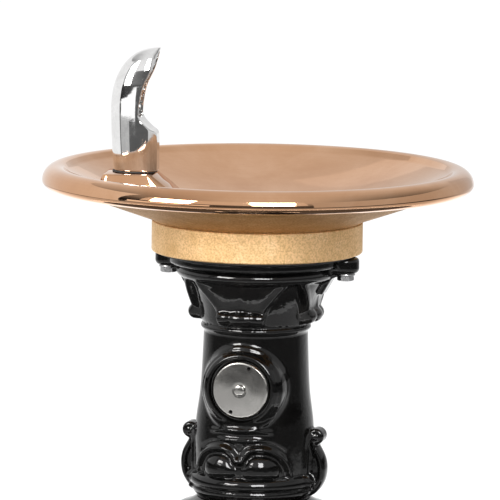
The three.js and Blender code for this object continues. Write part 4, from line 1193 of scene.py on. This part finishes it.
def floor_level(graph):
    """The floor in reflections: the studio's level, and lighter close to the set."""
    position = graph.node("ShaderNodeNewGeometry").outputs["Position"]
    away = graph.vector("LENGTH", position).outputs["Value"]
    near = graph.level(away, 2.4, 3.8, 0.68, 0.0)
    return graph.calculate(near, towards_front(graph, graph.vector("NORMALIZE", position).outputs[0]))


def build_floor():
    half = 60.0
    floor = mesh_object("floor", [(-half, -half, 0), (half, -half, 0), (half, half, 0), (-half, half, 0)],
                        [(0, 1, 2, 3)], 1.0)
    pale = Surface("pale_floor", Roughness=1.0, Specular_IOR_Level=0.0)
    pale.base(pale.colours(pale.noise(3.0, 3), (0.3, (0.845, 0.845, 0.845)), (0.7, (0.86, 0.86, 0.86))))
    floor.data.materials.append(pale.material)
    rings = [(radius, 1.2) for radius in (1000, 2000, 5000, 50000)]
    studio_card(lathe("floor_shade", rings, 64, closed=False), floor_level)
    cards = (
        ("back_fill", (-178, -70), (0.70, 1.45), 0.80, 0.98),
        ("left_fill", (-66, -36), (0.70, 0.80), 0.80, 0.50),
        ("left_panel", (-64, -22), (0.80, 0.895), 0.74, 1.3),
        ("right_fill", (26, 150), (0.76, 1.20), 0.80, 0.66),
        ("front_fill", (-64, 26), (1.50, 3.1), 3.3, 0.95),
        ("low_fill", (-58, -22), (0.30, 0.535), 1.0, 0.60),
    )
    for name, azimuths, heights, distance, strength in cards:
        studio_card(bent_card(name, azimuths, heights, distance), strength)
    studio_card(lathe("near_shade", [(170, 1.4), (860, 1.4)], 64, closed=False), 0.12)


def build_world():
    """White, apart from what reflections see: dim in front of the object and to both its sides."""
    world = bpy.data.worlds.new("studio")
    bpy.context.scene.world = world
    world.use_nodes = True
    graph = Graph(world.node_tree)
    graph.tree.nodes.clear()
    way = graph.node("ShaderNodeTexCoord").outputs["Generated"]
    height = graph.node("ShaderNodeSeparateXYZ", Vector=way).outputs["Z"]
    around_level = towards_front(graph, way)
    raised = graph.level(height, 0.08, 0.50, 0.0, 1.0)
    ceiling = graph.calculate(graph.calculate(0.98, around_level, "SUBTRACT"), raised, "MULTIPLY")
    sideways = along(graph, way, CAMERA_AZIMUTH + 90)
    centred = graph.calculate(1.05, graph.calculate(sideways, sideways, "MULTIPLY"), "SUBTRACT")
    level = graph.calculate(graph.calculate(around_level, ceiling), centred, "MULTIPLY")
    studio = graph.node("ShaderNodeBackground", Strength=level, Color=(0.86, 0.86, 0.86, 1))
    white = graph.node("ShaderNodeBackground", Strength=1.22, Color=(1, 1, 1, 1))
    choose = graph.node("ShaderNodeMixShader", Fac=graph.node("ShaderNodeLightPath").outputs["Is Glossy Ray"])
    graph.feed(choose.inputs[1], white.outputs[0])
    graph.feed(choose.inputs[2], studio.outputs[0])
    graph.node("ShaderNodeOutputWorld", Surface=choose.outputs[0])


def build_stage():
    build_floor()
    build_world()
    area_light("key_left", CAMERA_AZIMUTH - 46, 23, 2.4, 0.92, 0.90, 56, (1.0, 0.985, 0.96))
    area_light("front_box", CAMERA_AZIMUTH + 8, 24, 2.6, 0.98, 1.0, 62)
    bpy.context.scene.view_settings.view_transform = "Standard"
    bpy.context.scene.view_settings.look = "None"


build_bowl()
build_collar()
build_flange_bolts()
build_spout()
build_drain()
build_head()
build_shaft()
build_base()
build_button()
dress_carried()
build_stage()
build_camera()
